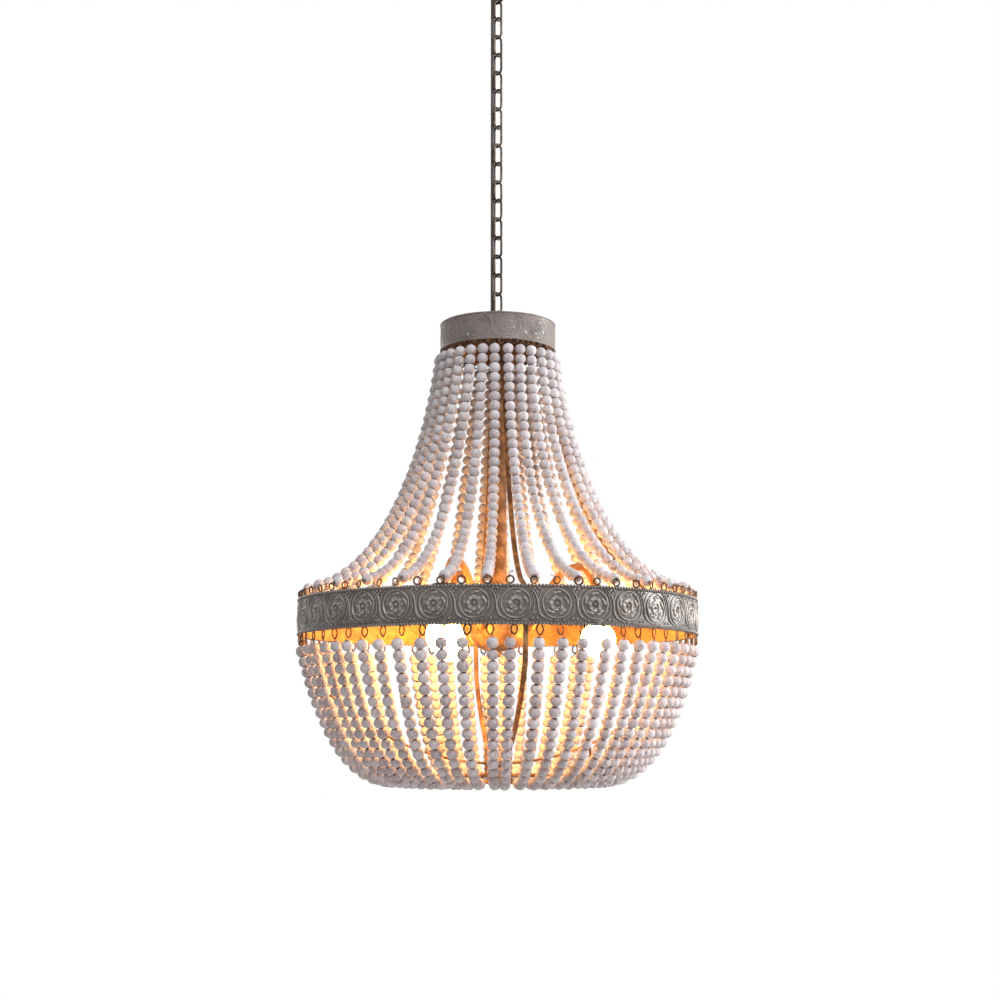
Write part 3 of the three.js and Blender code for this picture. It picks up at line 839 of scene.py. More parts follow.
# Embossed metal. A cell of the pattern is made at angle 0 and stands round the axis.
medallion = {
    'rings': 26,
    'spokes': 40,
    'radius': 17.4 * mm,
    'lift': 1.5 * mm,           # above the middle of the band
    'petals': 8,
    'leaves': 5,
}
bandPattern = {
    'count': 34,
    'first': math.radians(-85.3),
    'scale': 1,
    'relief': 1.8,              # how high it stands, in mm
    'shadeShare': 1,
    # points across and up in mm, width in mm, rise: the bright scroll down each medallion's right side,
    # the plain arc on its left and the one on its right
    'ridges': [
        (((13, 17), (18.5, 13.6), (22.6, 7.5), (24.2, 0), (25, -7), (27.2, -12.6), (32.5, -16), (40, -18.2)),
         2, 1.15),
        (((-11, 17.2), (-16.5, 13.2), (-19.6, 6.5), (-20.4, 0), (-19.4, -7), (-16, -13.4), (-11, -17)), 1.3, 0.75),
        (((10.5, 16.6), (15.8, 12.8), (19.4, 6.8), (20.5, 0), (20, -6.6), (17, -12.8), (11, -17)), 1.2, 0.7),
    ],
    # place across and up, length and width in mm, turn in degrees
    'leaves': [
        (20.4, 16, 6, 2.8, 40), (25.4, 16.2, 6, 2.8, -40), (22.8, 12.8, 5, 2.2, 90), (18.2, -16.4, 6, 2.6, 25),
        (23.4, -16.6, 4.6, 2.4, -30), (0, -18.6, 9, 1.5, 0), (-8, -18.2, 6, 1.5, -14), (8, -18.2, 6, 1.5, 14),
    ],
}
crownPattern = {
    'count': 11,
    'first': math.radians(-78),
    'scale': 0.8,
    'relief': 0.38,
    'shadeShare': 0.32,
    'ridges': [bandPattern['ridges'][0]],
    'leaves': [],
}
# each point's shade is what the finish reads in place of its rise: the dip to -0.55 and -0.6 is painted shade along
# the foot of each cord and round the rim of each leaf, where the metal barely dips
ridgeProfile = ((-1.9, 0.05, 0), (-1.15, 0.08, -0.55), (-0.75, 0.6, 0.5), (0, 1, 1.1),
                (0.75, 0.6, 0.5), (1.15, 0.08, -0.55), (1.9, 0.05, 0))      # across, up and shade
leafProfile = ((0.55, 0.75, 0.7), (1.0, 0.08, -0.6))      # size, up and shade
leafSides = 10


def bumpOf(value, middle, width):
    return math.exp(-((value - middle) / width) ** 2)


def medallionHeight(share, angle):
    # a boss in a dark hollow, a ring of petals, a ring of curling leaves and a plain outer ring
    boss = 1.25 * bumpOf(share, 0, 0.08) - 0.95 * bumpOf(share, 0.18, 0.06)
    collarRing = 0.75 * bumpOf(share, 0.29, 0.04)
    petal = 0.8 * bumpOf(share, 0.42, 0.09) * abs(math.cos(medallion['petals'] / 2 * angle)) ** 0.6
    leaves = medallion['leaves'] * angle
    curl = math.sin(leaves + 9 * share) + 0.5 * math.sin(2 * leaves - 7 * share)
    leaf = bumpOf(share, 0.68, 0.13) * (0.62 * curl + 0.1)
    worn = 0.22 * math.sin(3 * angle + 1.3) * math.sin(11 * share + 2 * angle)
    leaf += (worn + 0.12 * math.sin(7 * angle + 16 * share)) * min(1, 3 * share)
    ring = (0.85 + 0.2 * math.sin(2 * angle + 0.7)) * bumpOf(share, 0.93 + 0.014 * math.sin(5 * angle), 0.045)
    groove = 0.6 * bumpOf(share, 0.84, 0.03) + 0.5 * bumpOf(share, 0.54, 0.03)
    return boss + collarRing + petal + leaf + ring - groove


def storeRelief(mesh, values):
    # how far each point stands up, or the painted shade given in its place, as the metal's finish reads it
    store = mesh.attributes.new('relief', 'FLOAT', 'POINT')
    store.data.foreach_set('value', values)


def embossedCells(name, radius, middle, pattern, finish):
    points = []
    faces = []
    relief = []
    scale = pattern['scale']

    # a point's shade, when given, is stored in place of its rise, as painted shade
    def put(across, up, rise, shade=None):
        points.append(polar(radius + rise * pattern['relief'] * mm, across / radius, middle + up))
        relief.append((rise if shade is None else shade) * pattern['shadeShare'])

    rings = medallion['rings']
    for ring in range(rings + 1):
        share = ring / rings
        spread = medallion['radius'] * scale * share
        for angle in turns(medallion['spokes']):
            rise = medallionHeight(share, angle) + 0.12 if ring < rings else -0.5
            put(spread * math.cos(angle), spread * math.sin(angle), rise)
    faces += tubeFaces(rings, medallion['spokes'])
    for pairs, width, rise in pattern['ridges']:
        # a raised cord on the metal, with a dark line of painted shade at each foot
        line = smoothLine([Vector((across * mm, up * mm)) for across, up in pairs], 4)
        line = [point * scale for point in line]
        last = len(line) - 1
        first = len(points)
        for index, point in enumerate(line):
            ahead = line[min(index + 1, last)] - line[max(index - 1, 0)]
            side = Vector((-ahead.y, ahead.x)).normalized() * (width * mm) * scale / 2
            taper = min(1, 3.2 * min(index, last - index) / len(line) + 0.25)
            for across, up, shade in ridgeProfile:
                spot = point + side * across * taper
                put(spot.x, spot.y, up * rise * (0.4 + 0.6 * taper) if up > 0.1 else up, shade)
        row = len(ridgeProfile)
        for index in range(last):
            for step in range(row - 1):
                here = first + index * row + step
                faces.append((here, here + 1, here + row + 1, here + row))
    for *sizes, turn in pattern['leaves']:
        x, y, long, wide = [size * mm for size in sizes]
        first = len(points)
        put(x * scale, y * scale, 1.0)
        for ring, rise, shade in leafProfile:
            for angle in turns(leafSides):
                spot = Vector((long / 2 * ring * math.cos(angle), wide / 2 * ring * math.sin(angle)))
                spot = Matrix.Rotation(math.radians(turn), 2) @ spot
                put((x + spot.x) * scale, (y + spot.y) * scale, rise, shade)
        inner, outer = first + 1, first + 1 + leafSides
        for side in range(leafSides):
            after = (side + 1) % leafSides
            faces.append((first, inner + side, inner + after))
            faces.append((inner + side, outer + side, outer + after, inner + after))
    mesh = bpy.data.meshes.new(name)
    mesh.from_pydata(points, [], faces)
    storeRelief(mesh, relief)
    # the cell is an open skin, so its faces are turned by the way they look from the axis
    skin = bmesh.new()
    skin.from_mesh(mesh)
    skin.normal_update()
    for face in skin.faces:
        if face.normal.x < 0:
            face.normal_flip()
    skin.to_mesh(mesh)
    skin.free()
    mesh.shade_smooth()
    return grown(placed(name, mesh), 'around', finish, {'Count': pattern['count'], 'First Angle': pattern['first']})


bandWall = {
    'inside': 4.6 * mm,     # from the rims' reach in to the inner face
    'field': 2.2 * mm,      # from the rims' reach in to the plain field
    'crownField': 0.8 * mm,
    'gilt': 4 * mm,         # from the rims' reach in to where the gilt begins
}


def hoop(name, outline, around, soft, finish, radius):
    # the plain metal of a band, gilt on every face inside that looks at the axis
    piece = lathe(name, outline, around, soft=soft, steps=2)
    storeRelief(piece.data, [0.0] * len(piece.data.vertices))
    piece.data.materials.append(finishes[finish])
    piece.data.materials.append(finishes['gilt'])
    for face in piece.data.polygons:
        centre = face.center.copy()
        centre.z = 0
        if centre.length < radius - bandWall['gilt'] and face.normal.dot(centre.normalized()) < -0.5:
            face.material_index = 1
    return piece


rope = {
    'thickness': 4.2 * mm,
    'strokes': 387,
    'lean': math.radians(38),
    'proud': 0.3 * mm,          # how far it stands out past the rims
    'stroke': (0.82, 0.62, 1.2),    # a stroke's size out, round and up, in thicknesses
}


def ropeEdge(name, height):
    # one stroke of the twist, a slanted oval, set side by side round the edge
    thick = rope['thickness']
    mesh = bpy.data.meshes.new(name)
    solid = bmesh.new()
    bmesh.ops.create_uvsphere(solid, u_segments=8, v_segments=5, radius=0.5)
    stretch = Matrix.Diagonal((*(thick * share for share in rope['stroke']), 1))
    bmesh.ops.transform(solid, matrix=Matrix.Rotation(rope['lean'], 4, 'X') @ stretch, verts=solid.verts)
    # the sphere's faces come in another order each time, so they are sorted by their corners
    solid.verts.index_update()
    faces = sorted([vertex.index for vertex in face.verts] for face in solid.faces)
    mesh.from_pydata([vertex.co[:] for vertex in solid.verts], [], faces)
    solid.free()
    mesh.shade_smooth()
    storeRelief(mesh, [max(-0.3, 0.9 * vertex.co.x / (thick / 2)) for vertex in mesh.vertices])
    settings = {'Count': rope['strokes'], 'Radius': bandRadius - thick / 2 + rope['proud'], 'Height': height}
    return grown(placed(name, mesh), 'around', 'band', settings)


def mainBand():
    inside, field = bandRadius - bandWall['inside'], bandRadius - bandWall['field']
    low, high = bandBottom + mm, bandTop - mm
    outline = [(inside, low), (field, low), (field, high), (inside, high)]
    wall = hoop('band_wall', outline, 180, 0.4 * mm, 'band', bandRadius)
    middle = (bandTop + bandBottom) / 2 + medallion['lift']
    cells = embossedCells('band_cells', field, middle, bandPattern, 'band')
    edge = rope['thickness'] / 2
    ropes = [ropeEdge('rope_upper', bandTop - edge), ropeEdge('rope_lower', bandBottom + edge)]
    dress(joined('main_band_embossed', [wall, cells, *ropes]), None, 'aged_metal', nodes=['main_band'])


def crownBand():
    inside, field = crownRadius - bandWall['inside'], crownRadius - bandWall['crownField']
    outline = [
        (inside, crownBottom), (crownRadius, crownBottom), (crownRadius, crownBottom + 2 * mm),
        (field, crownBottom + 2.6 * mm), (field, crownTop - 2.2 * mm),
        (crownRadius, crownTop - 1.6 * mm), (crownRadius, crownTop), (inside, crownTop),
    ]
    wall = hoop('crown_wall', outline, 120, 0.5 * mm, 'crown', crownRadius)
    cells = embossedCells('crown_cells', field, (crownTop + crownBottom) / 2, crownPattern, 'crown')
    dress(joined('crown_band_embossed', [wall, cells]), None, 'crown_metal', nodes=['crown_band'])


crownRing = {'radius': 9.2 * mm, 'wire': 3.5 * mm, 'stub': 4.4 * mm}


def crownPlate():
    radius = reach('crown_plate')
    outline = [(0, plateBottom), (radius, plateBottom), (radius, plateTop), (0.82 * radius, plateTop),
               (0.8 * radius, plateTop - 0.6 * mm), (0.78 * radius, plateTop), (0, plateTop)]
    plate = lathe('crown_plate_disc', outline, 96, soft=0.5 * mm, steps=2)
    outline = [(2.6 * mm, plateTop), (4.2 * mm, plateTop), (3.8 * mm, plateTop + 1.6 * mm),
               (2.6 * mm, plateTop + 1.8 * mm)]
    bush = lathe('cord_bush', outline, 24, (cordSettings['offset'], 0), soft=0.4 * mm)
    dress(joined('crown_plate_disc', [plate, bush]), 'crown', 'crown_metal', nodes=['crown_plate'])


def crownLoop():
    low, high = heights('crown_loop')
    radius, stub = crownRing['radius'], crownRing['stub']
    height = high - crownRing['wire'] / 2 - radius
    top = height - radius + mm
    outline = [(0, low), (stub, low), (stub, plateBottom), (stub * 0.7, plateBottom), (stub * 0.7, plateTop),
               (stub * 1.25, plateTop + 0.3 * mm), (stub * 1.25, plateTop + 2 * mm), (stub * 0.8, plateTop + 3 * mm),
               (stub * 0.7, top), (0, top)]
    stem = lathe('crown_stub', outline, 32, soft=0.5 * mm, steps=2)
    piece = stemAndRing('crown_ring_and_stub', stem, radius, height, crownRing['wire'])
    dress(piece, 'bronze', 'dark_bronze', nodes=['crown_loop'])


mainBand()
crownBand()
crownPlate()
crownLoop()
print('bands made')


# Bead strands
strands = {
    'groups': 5,
    'first': math.radians(-91.6),
    'angleSpread': math.radians(0.7),
    'sway': 1.4 * mm,
    'thread': 0.9 * mm,
    'seat': 245 * mm,           # radius where both curtains meet the band
    'loopHeight': 9 * mm,
}
bell = {
    'count': 30,
    'beads': 29,
    'tree': {'Bead Width': 13.8 * mm, 'Bead Squash': 0.94},
    'seeds': (100, 5, 31),      # the strands' places, the first group's beads and the step to the next group's
    'slot': 'pale_wood',
    'turn': math.radians(-0.9),
    'farTurn': math.radians(-1.7),      # the far half hangs behind the near half's gaps
    # sideways bow in mm at mid-length, by a strand's number from the front one
    'aside': {-3: -4, -2: -3, 0: 2, 2: -3, 3: -3, 4: -3, -14: 4.5, -13: 9, -12: 10, -11: 8, -10: 2,
              13: -2, 12: -3, 11: -4},
    'crownDrop': 8 * mm,
    'firstBead': 4.5 * mm,      # from the top of the curve to the first bead's middle
    'lastShare': 0.985,
}
bowl = {
    'count': 60,
    'tree': {'Bead Width': 13.8 * mm, 'Bead Squash': 0.955, 'Tilt': 0.2, 'Size Spread': 0.04},
    'seeds': (200, 9, 47),
    'slot': 'mauve_wood',
    # turn in degrees, by a strand's number from the front one, where the photograph shows it
    'turns': {-7: -0.9, -6: -1.2, -5: -1.4, -4: -1.5, -3: -0.8, -2: -1.1, -1: -1.5, 0: 0.3, 1: -1.1, 2: 0.3,
              3: 0.7, 4: 0.4, 5: 1.5, 6: 1.1, 7: 0.8},
    'pitch': 13 * mm,
    'firstBead': 10.2 * mm,
    'lowest': 135 * mm,         # radius of the lowest point, of the last bead and of the string past it
    'end': 128 * mm,
    'string': 119.5 * mm,
    'depth': 166 * mm,
}


def bellLine(steps=60):
    # from under the crown down and out to the band, in radius and height
    fall = crownBottom - bandTop
    run = strands['seat'] - crownRadius
    a = Vector((crownRadius + 0.3 * mm, crownBottom - bell['crownDrop']))
    b = Vector((crownRadius + 0.06 * run, crownBottom - 0.332 * fall))
    c = Vector((crownRadius + 0.34 * run, bandTop + 0.074 * fall))
    d = Vector((strands['seat'] - 2.2 * mm, bandTop + strands['loopHeight']))
    line = []
    for step in range(steps + 1):
        t = step / steps
        line.append((1 - t) ** 3 * a + 3 * t * (1 - t) ** 2 * b + 3 * t ** 2 * (1 - t) * c + t ** 3 * d)
    return line


def bowlLine(steps=60):
    # a hanging string from the band down, under and up to its end, in radius and height
    run = strands['seat'] - bowl['lowest']
    low, high = run / 10, run * 10
    for halving in range(60):
        parameter = (low + high) / 2
        if parameter * (math.cosh(run / parameter) - 1) > bowl['depth']:
            low = parameter
        else:
            high = parameter
    lowestHeight = bandBottom - strands['loopHeight'] - bowl['depth']
    line = []
    for step in range(steps + 1):
        radius = strands['seat'] + (bowl['end'] - strands['seat']) * (step / steps) ** 0.8
        hang = parameter * (math.cosh((radius - bowl['lowest']) / parameter) - 1)
        line.append(Vector((radius, lowestHeight + hang)))
    return line


def lengthOf(line):
    return sum((b - a).length for a, b in zip(line, line[1:]))


def cutLine(line, start, end, steps=40):
    # the stretch of a line between two lengths, in even steps
    marks = [0]
    for a, b in zip(line, line[1:]):
        marks.append(marks[-1] + (b - a).length)
    cut = []
    index = 0
    for step in range(steps + 1):
        mark = start + (end - start) * step / steps
        while index < len(line) - 2 and marks[index + 1] < mark:
            index += 1
        share = (mark - marks[index]) / (marks[index + 1] - marks[index])
        cut.append(line[index].lerp(line[index + 1], share))
    return cut


def fromFront(step, count):
    # a strand's number counted from the front one, to either side
    return step if step < count / 2 else step - count


def softStep(share):
    share = min(1, max(0, share))
    return share * share * (3 - 2 * share)


def bellHang(step, chance):
    # a strand's angle and sideways bow
    number = fromFront(step, bell['count'])
    angle = strands['first'] + bell['turn'] + 2 * math.pi * step / bell['count']
    angle += chance.uniform(-1, 1) * strands['angleSpread'] * 0.7
    angle += bell['farTurn'] * softStep((abs(number) - 3) / 8.5)
    return angle, bell['aside'].get(number, 0) * mm


def bowlHang(step, chance):
    turn = bowl['turns'].get(fromFront(step, bowl['count']))
    if turn is None:
        turn = math.degrees(chance.uniform(-1, 1) * strands['angleSpread'])
    return strands['first'] + 2 * math.pi * step / bowl['count'] + math.radians(turn), 0


def hung(line, angle, aside, seed):
    # the line at its angle round the axis, swaying a little between its ends
    chance = random.Random(seed)
    side = chance.uniform(-1, 1) * strands['sway'] + aside
    wave = chance.uniform(-1, 1) * strands['sway'] * 0.6
    out = chance.uniform(-1, 1) * strands['sway'] * 0.5
    points = []
    for index, point in enumerate(line):
        share = index / (len(line) - 1)
        swing = math.sin(math.pi * share)
        across = side * swing + wave * math.sin(2 * math.pi * share)
        points.append(polar(point.x + out * swing, angle + across / point.x, point.y))
    return points


def curtain(kind, settings, beads, threads, count, hang):
    # each group's strands are one piece, and the wires that they are threaded on another
    each = settings['count'] // strands['groups']
    placeSeed, beadSeed, seedStep = settings['seeds']
    for group in range(strands['groups']):
        chance = random.Random(placeSeed + group)
        spots = [(*hang(step, chance), chance.randrange(10000)) for step in range(group * each, group * each + each)]
        lines = guide(f'{kind}_beads_{group + 1}', [hung(beads, *spot) for spot in spots])
        strung = grown(lines, 'beads', f'{kind}Wood',
                       {**settings['tree'], 'Beads per Strand': count, 'Seed': seedStep * group + beadSeed})
        dress(strung, None, settings['slot'], nodes=[f'{kind}_strands_{group + 1}'])
        lines = [hung(threads, *spot) for spot in spots]
        dress(wire(f'{kind}_wires_{group + 1}', lines, strands['thread'], 'loop'), None, 'dark_bronze')


def upperStrands():
    line = bellLine()
    total = lengthOf(line)
    beads = cutLine(line, bell['firstBead'], total * bell['lastShare'])
    curtain('upper', bell, beads, cutLine(line, 0, total), bell['beads'], bellHang)


def lowerStrands():
    line = bowlLine()
    total = lengthOf(line)
    beads = cutLine(line, bowl['firstBead'], total)
    count = round((total - bowl['firstBead']) / bowl['pitch']) + 1
    # the threads run on, in the same slope, to the string that they are tied to
    slope = (line[-1] - line[-2]) / (line[-1].x - line[-2].x)
    ending = Vector((bowl['string'], line[-1].y + slope.y * (bowl['string'] - line[-1].x)))
    curtain('lower', bowl, beads, [*cutLine(line, 0, total), ending], count, bowlHang)


upperStrands()
lowerStrands()
print('beads strung')


# Wire loops that the strands hang from
topFirst = math.radians(-93)
loopRows = {
    'top_loops': {
        'width': 10.4 * mm, 'height': 10.4 * mm, 'wire': 2.1 * mm, 'point': 0,
        'tree': {'First Angle': topFirst, 'Angle Spread': math.radians(0.6), 'Radius': strands['seat'] + 0.6 * mm,
                 'Height': bandTop + 4.3 * mm, 'Lean': 0.2, 'Twist': 0.3, 'Size Spread': 0.1, 'Seed': 3},
    },
    'drop_loops': {
        'width': 9.6 * mm, 'height': 13.5 * mm, 'wire': 2 * mm, 'point': 0.4,
        'tree': {'First Angle': strands['first'], 'Angle Spread': math.radians(0.5), 'Radius': strands['seat'],
                 'Height': bandBottom - 4.35 * mm, 'Lean': 0.07, 'Twist': 0.25, 'Size Spread': 0.07, 'Seed': 8},
    },
    'crown_loops': {
        'width': 7.6 * mm, 'height': 7.6 * mm, 'wire': 1.9 * mm, 'point': 0,
        'tree': {'First Angle': strands['first'], 'Angle Spread': math.radians(0.8), 'Radius': crownRadius - 1.2 * mm,
                 'Height': crownBottom - 2.6 * mm, 'Lean': 0.3, 'Twist': 0.5, 'Size Spread': 0.1, 'Seed': 12},
    },
}


def loopRow(name, row):
    # a closed wire in the plane that faces outwards, drawn to a point below when asked, and set round the axis
    width, height = row['width'] - row['wire'], row['height'] - row['wire']
    line = []
    for angle in turns(16):
        across = width / 2 * math.sin(angle)
        up = height / 2 * math.cos(angle)
        if up < 0:
            across *= 1 - row['point'] * (2 * up / height) ** 2
        line.append((0, across, up))
    loop = grown(guide(name, [line], closed=True), 'sweep', 'loop',
                 {'Width': row['wire'], 'Thickness': row['wire'], 'Corner Steps': 1})
    dress(grown(loop, 'around', 'loop', {'Count': bowl['count'], **row['tree']}), None, 'dark_bronze')


tieSettings = {'wire': 0.9 * mm, 'rise': 6.5 * mm, 'curled': 4}      # one in so many is left curled


def ties():
    # thin wire from each standing loop in to the strands, some of it left curled
    chance = random.Random(5)
    seat = strands['seat']
    low = bandTop + tieSettings['rise']
    lines = []
    for index, turn in enumerate(turns(bowl['count'])):
        side = chance.uniform(-3, 3) * mm
        rise = chance.uniform(3, 7) * mm
        spots = [(seat + 0.6 * mm, 0, low), (seat - 3 * mm, side * 0.4, low + 0.5 * rise),
                 (seat - 8 * mm, side, low + rise)]
        if index % tieSettings['curled'] == 1:
            spots.append((seat - 6 * mm, side + 2.5 * mm, low + rise + 1.5 * mm))
            spots.append((seat - 4 * mm, side + 1.5 * mm, low + rise - mm))
        spots = [polar(radius, topFirst + turn + across / radius, height) for radius, across, height in spots]
        lines.append(smoothLine(spots, 4))
    dress(wire('wire_ties', lines, tieSettings['wire'], 'loop'), None, 'dark_bronze')


for rowName, rowSettings in loopRows.items():
    loopRow(rowName, rowSettings)
ties()
print('loops made')


# Frame inside the beads
ribs = {
    'width': 6 * mm,
    'thickness': 3 * mm,
    'arcRadius': 298 * mm,
    'inset': 13 * mm,           # from the bell's beads in to the upper ribs
    'boss': 12 * mm,
    'bossEase': 2.7 * mm,
    'ring': 5 * mm,             # the bottom ring's wire
    'post': 2 * mm,             # radius of its posts
}
ribTurns = [math.radians(-82.6) + turn for turn in turns(4)]
ribTab = bandRadius - bandWall['inside'] - 2.1 * mm      # where the ribs end, inside the main band


def ribSet(kind, line):
    settings = {'Width': ribs['width'], 'Thickness': ribs['thickness'], 'Corner': 0.7}
    for index, turn in enumerate(ribTurns):
        bar = guide(f'{kind}_rib_bar_{index + 1}', [[polar(across, turn, height) for across, height in line]])
        bar = grown(bar, 'sweep', 'iron', settings, sharpAngle=50)
        dress(bar, None, 'frame_metal', nodes=[f'{kind}_rib_{index + 1}'])


def upperRibs():
    curve = bellLine()
    line = cutLine(curve, 0, 0.9 * lengthOf(curve), 30)
    inset = []
    for index, point in enumerate(line):
        ahead = (line[min(index + 1, 30)] - line[max(index - 1, 0)]).normalized()
        inset.append(Vector((point.x + ahead.y * ribs['inset'], point.y - ahead.x * ribs['inset'])))
    root = Vector((inset[0].x - 0.3 * mm, plateBottom - 0.3 * mm))
    ribSet('upper', [root, *inset, Vector((ribTab, bandTop - 4 * mm)), Vector((ribTab, bandTop - 18 * mm))])


def lowerRibs():
    low, high = heights('rib_boss')
    radius, boss, ease = ribs['arcRadius'], ribs['boss'], ribs['bossEase']
    centre = (low + high) / 2 + math.sqrt(radius ** 2 - boss ** 2)
    inner = math.asin(boss / radius)
    outer = math.asin(0.97 * ribTab / radius)
    line = []
    for step in range(33):
        angle = inner + (outer - inner) * step / 32
        line.append((radius * math.sin(angle), centre - radius * math.cos(angle)))
    ribSet('lower', [*line, (ribTab, bandTop - 40 * mm), (ribTab, bandTop - 22.3 * mm)])
    outline = [(0, low), (boss * 0.75, low), (boss, low + ease), (boss, high - ease), (boss * 0.75, high), (0, high)]
    dress(lathe('rib_boss_turned', outline, 48, soft=1.4 * mm, steps=4), 'iron', 'frame_metal', nodes=['rib_boss'])


def bottomRing():
    low, high = heights('bottom_ring')
    radius = reach('bottom_ring') - ribs['ring'] / 2
    height = low + ribs['ring'] / 2
    circle = [polar(radius, angle, height) for angle in turns(96)]
    pieces = [wire('bottom_ring_wire', [circle], ribs['ring'], 'iron', closed=True)]
    for turn in ribTurns:
        outline = [(0, height), (ribs['post'], height), (ribs['post'], high), (0, high)]
        pieces.append(lathe('post', outline, 20, polar(radius, turn, 0)[:2]))
    dress(joined('bottom_ring_wire', pieces), 'iron', 'frame_metal', nodes=['bottom_ring'])


upperRibs()
lowerRibs()
bottomRing()
print('frame made')


# Stem, hub, arms and lamps
lamps = {
    'count': 3,
    'circle': 125 * mm,
    'stem': 11 * mm,            # radii
    'stemBore': 9.8 * mm,
    'armRoot': 36.3 * mm,
    'armDrop': 13 * mm,         # from the hub's top to where the arms leave it
    'armRise': 30 * mm,         # from a cup's top to its arm's highest bend
    'armThickness': 9 * mm,
    'cupTop': 14.6 * mm,        # radii
    'cupFoot': 23 * mm,
    'cupWall': 1.6 * mm,
    'socket': 11.4 * mm,
    'socketBore': 7.4 * mm,
    'socketDepth': 24 * mm,
    'globe': 22 * mm,
    'threads': 5,
}


def stemAndHub():
    low, high = heights('stem')
    outline = [(lamps['stemBore'], low), (lamps['stem'], low), (lamps['stem'], high), (lamps['stemBore'], high)]
    dress(lathe('stem_tube', outline, 48, soft=0.3 * mm, steps=2), 'iron', 'frame_metal', nodes=['stem'])
    radius = reach('hub')
    bodyLow = hubBottom + 7 * mm
    tall = hubTop - bodyLow
    outline = [
        (0, hubBottom), (4.2 * mm, hubBottom + 1.4 * mm), (5 * mm, hubBottom + 3.6 * mm), (2.6 * mm, bodyLow),
        (radius * 0.45, bodyLow + 0.04 * tall), (radius * 0.78, bodyLow + 0.16 * tall),
        (radius * 0.97, bodyLow + 0.38 * tall), (radius, bodyLow + 0.6 * tall), (radius, hubTop - 4 * mm),
        (15 * mm, hubTop - mm), (15 * mm, hubTop), (0, hubTop),
    ]
    dress(lathe('hub_turned', outline, soft=3 * mm, steps=4), 'iron', 'frame_metal', nodes=['hub'])


def arm(number, angle, cupTop):
    # out of the hub, up and over, and down into the cup
    root = lamps['armRoot']
    run = lamps['circle'] - root
    height = hubTop - lamps['armDrop']
    low = min(height, cupTop)
    line = [(root - 2 * mm, height), (root + 6 * mm, height)]
    for out, up in ((0.22, 0.42), (0.5, 0.9), (0.8, 1), (0.96, 0.7)):
        line.append((root + run * out, low + (cupTop + lamps['armRise'] - low) * up))
    line += [(lamps['circle'], cupTop + 6 * mm), (lamps['circle'], cupTop)]
    line = smoothLine([(across, 0, height) for across, height in line], 6)
    line = [Matrix.Rotation(angle, 3, 'Z') @ point for point in line]
    tube = wire(f'arm_tube_{number}', [line], lamps['armThickness'], 'gilt')
    dress(tube, None, 'dark_bronze', nodes=[f'arm_{number}'])


def cupAndSocket(number, centre, cupLow, cupTop, socketLow, socketTop):
    wall, top, foot = lamps['cupWall'], lamps['cupTop'], lamps['cupFoot']
    outline = [(0, cupTop - wall), (top - wall, cupTop - wall), (foot - wall, cupLow), (foot, cupLow),
               (top, cupTop), (0, cupTop)]
    cup = lathe(f'lamp_cup_turned_{number}', outline, 48, centre, soft=0.8 * mm)
    dress(cup, 'bronze', 'dark_bronze', nodes=[f'lamp_cup_{number}'])
    outer, bore, depth = lamps['socket'], lamps['socketBore'], socketLow + lamps['socketDepth']
    outline = [(0, depth), (bore, depth), (bore, socketLow), (outer, socketLow),
               (outer, socketLow + 8 * mm), (outer - 0.8 * mm, socketLow + 9 * mm), (outer, socketLow + 10 * mm),
               (outer, socketTop), (0, socketTop)]
    socket = lathe(f'lamp_socket_turned_{number}', outline, 40, centre, soft=0.6 * mm, steps=2)
    dress(socket, 'ceramic', 'socket_body', nodes=[f'lamp_socket_{number}'])


def bulb(number, centre, socketLow):
    low, high = heights(f'bulb_{number}')
    globe = lamps['globe']
    outline = []
    for step in range(15):
        turn = math.radians(150) * step / 14
        outline.append((globe * math.sin(turn), low + globe - globe * math.cos(turn)))
    outline += [(7.6 * mm, socketLow - 3 * mm), (7 * mm, socketLow + 0.5 * mm), (0, socketLow + 0.5 * mm)]
    glass = lathe(f'bulb_glass_{number}', outline, 40, centre)
    glass.data.materials.append(finishes['glass'])
    outline = [(0, socketLow), (6.8 * mm, socketLow)]
    for step in range(lamps['threads']):
        base = socketLow + 2 * mm + step * 3 * mm
        outline += [(6.5 * mm, base), (6.95 * mm, base + 0.9 * mm), (6.5 * mm, base + 1.8 * mm)]
    outline += [(6.3 * mm, high - 3 * mm), (3 * mm, high), (0, high)]
    cap = lathe(f'bulb_cap_{number}', outline, 32, centre)
    cap.data.materials.append(finishes['cap'])
    dress(joined(f'bulb_lit_{number}', [glass, cap]), None, 'bulb_glass', f'bulb_{number}', [f'bulb_{number}'])


def lampSets():
    for index, angle in enumerate(turns(lamps['count'])):
        number = index + 1
        centre = polar(lamps['circle'], angle, 0)[:2]
        cup = heights(f'lamp_cup_{number}')
        socket = heights(f'lamp_socket_{number}')
        arm(number, angle, cup[1])
        cupAndSocket(number, centre, *cup, *socket)
        bulb(number, centre, socket[0])


stemAndHub()
lampSets()
print('lamps made')


# Stage: pale floor, white surround and soft light
stage = {
    'floorDrop': 1.1,           # from the lowest bead to the floor
    'floorRadius': 4.5,
    'fadeFrom': 1.2,
    'fadeTo': 2.6,
    'floorTone': tone(226, 224, 222),
    'worldLevel': 0.28,
    'aimDrop': 0.2,             # how far under the object's middle the lights aim
}
softLights = {
    'key': {'place': (1.3, -2.0, 1.2), 'size': 1.4, 'power': 62, 'colour': (0.99, 0.98, 1)},
    'side': {'place': (2.7, 0.4, -0.4), 'size': 1.3, 'power': 86, 'colour': (1, 0.99, 0.98)},
    'fill': {'place': (-1.8, -2.2, 0.5), 'size': 1.8, 'power': 10, 'colour': (0.97, 0.97, 1)},
    'back': {'place': (-1.2, 2.2, 0.9), 'size': 1.8, 'power': 20, 'colour': (0.98, 0.98, 1)},
}
white = (1, 1, 1, 1)


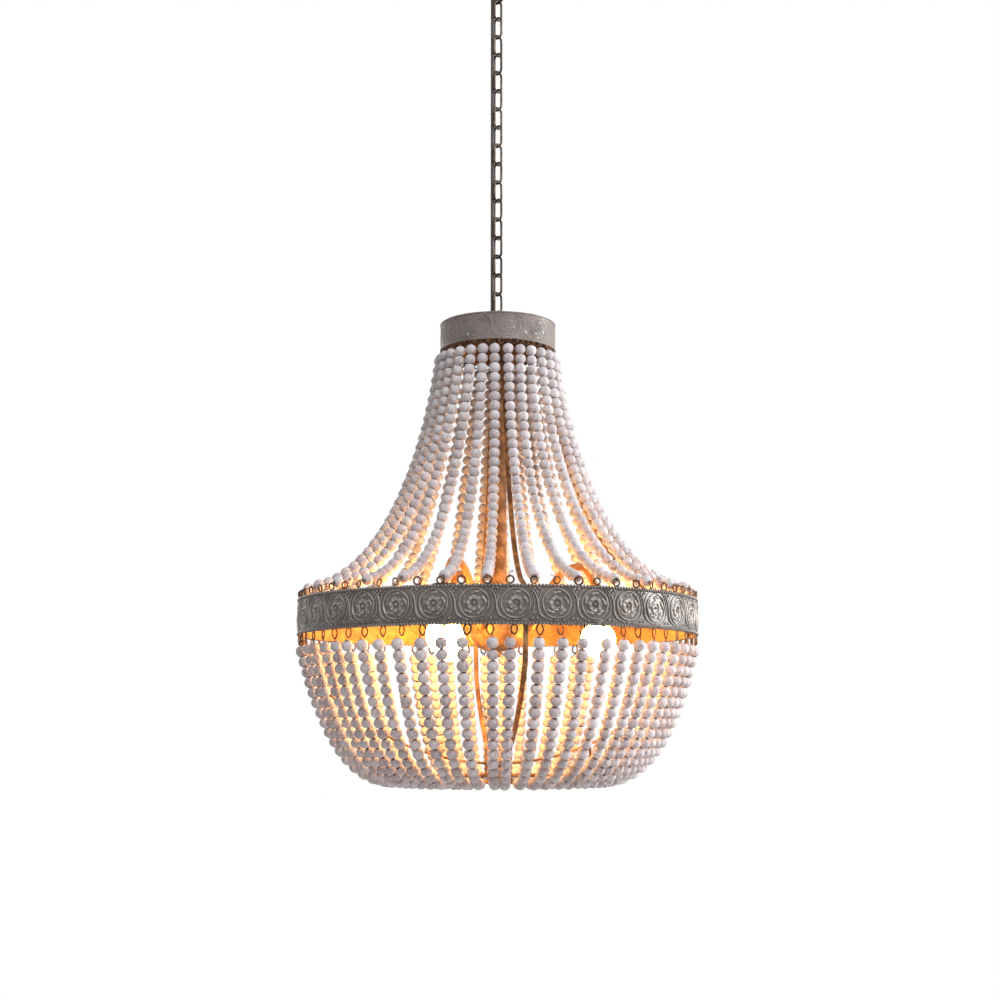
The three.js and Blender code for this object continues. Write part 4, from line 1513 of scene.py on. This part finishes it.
def seenDirectly(graph):
    # 1 for rays from the camera, off a mirror or through glass
    path = graph.add('ShaderNodeLightPath', output='Is Camera Ray')
    return path.maths('MAXIMUM', path.other('Is Glossy Ray')).maths('MAXIMUM', path.other('Is Transmission Ray'))


def setWorld():
    world = bpy.data.worlds.new('pale_room')
    bpy.context.scene.world = world
    graph = clearedGraph(world)
    lit = graph.add('ShaderNodeBackground', None, [white, stage['worldLevel']])
    seen = graph.add('ShaderNodeBackground', None, [white, 1.0])
    both = graph.add('ShaderNodeMixShader', None, [seenDirectly(graph), lit, seen])
    graph.add('ShaderNodeOutputWorld', None, {'Surface': both})


def setFloor():
    height = cadBounds[0].z - stage['floorDrop']
    rim = [polar(stage['floorRadius'], angle, height) for angle in turns(96)]
    mesh = bpy.data.meshes.new('floor')
    mesh.from_pydata(rim, [], [tuple(range(len(rim)))])
    floor = placed('floor', mesh)
    material = bpy.data.materials.new('pale_floor')
    graph = clearedGraph(material)
    flat = graph.vectorMaths('MULTIPLY', graph.place(), (1, 1, 0))
    far = graph.add('ShaderNodeVectorMath', {'operation': 'LENGTH'}, [flat], output='Value')
    fade = far.between(stage['fadeFrom'], stage['fadeTo']) * seenDirectly(graph)
    matt = graph.add('ShaderNodeBsdfDiffuse', None, {'Color': stage['floorTone']})
    bright = graph.add('ShaderNodeEmission', None, {'Color': white, 'Strength': 1.0})
    both = graph.add('ShaderNodeMixShader', None, [fade, matt, bright])
    graph.add('ShaderNodeOutputMaterial', None, {'Surface': both})
    floor.data.materials.append(material)


def setLights():
    aim = (cadBounds[0] + cadBounds[1]) / 2
    aim.z -= stage['aimDrop']
    for name, settings in softLights.items():
        light = bpy.data.lights.new(f'soft_{name}', 'AREA')
        light.shape = 'DISK'
        light.size = settings['size']
        light.energy = settings['power']
        light.color = settings['colour']
        lamp = bpy.data.objects.new(f'soft_{name}', light)
        lamp.location = settings['place']
        lamp.rotation_euler = (aim - Vector(settings['place'])).to_track_quat('-Z', 'Y').to_euler()
        bpy.context.collection.objects.link(lamp)


setWorld()
setFloor()
setLights()
bpy.context.scene.view_settings.view_transform = 'Standard'
print('stage set')
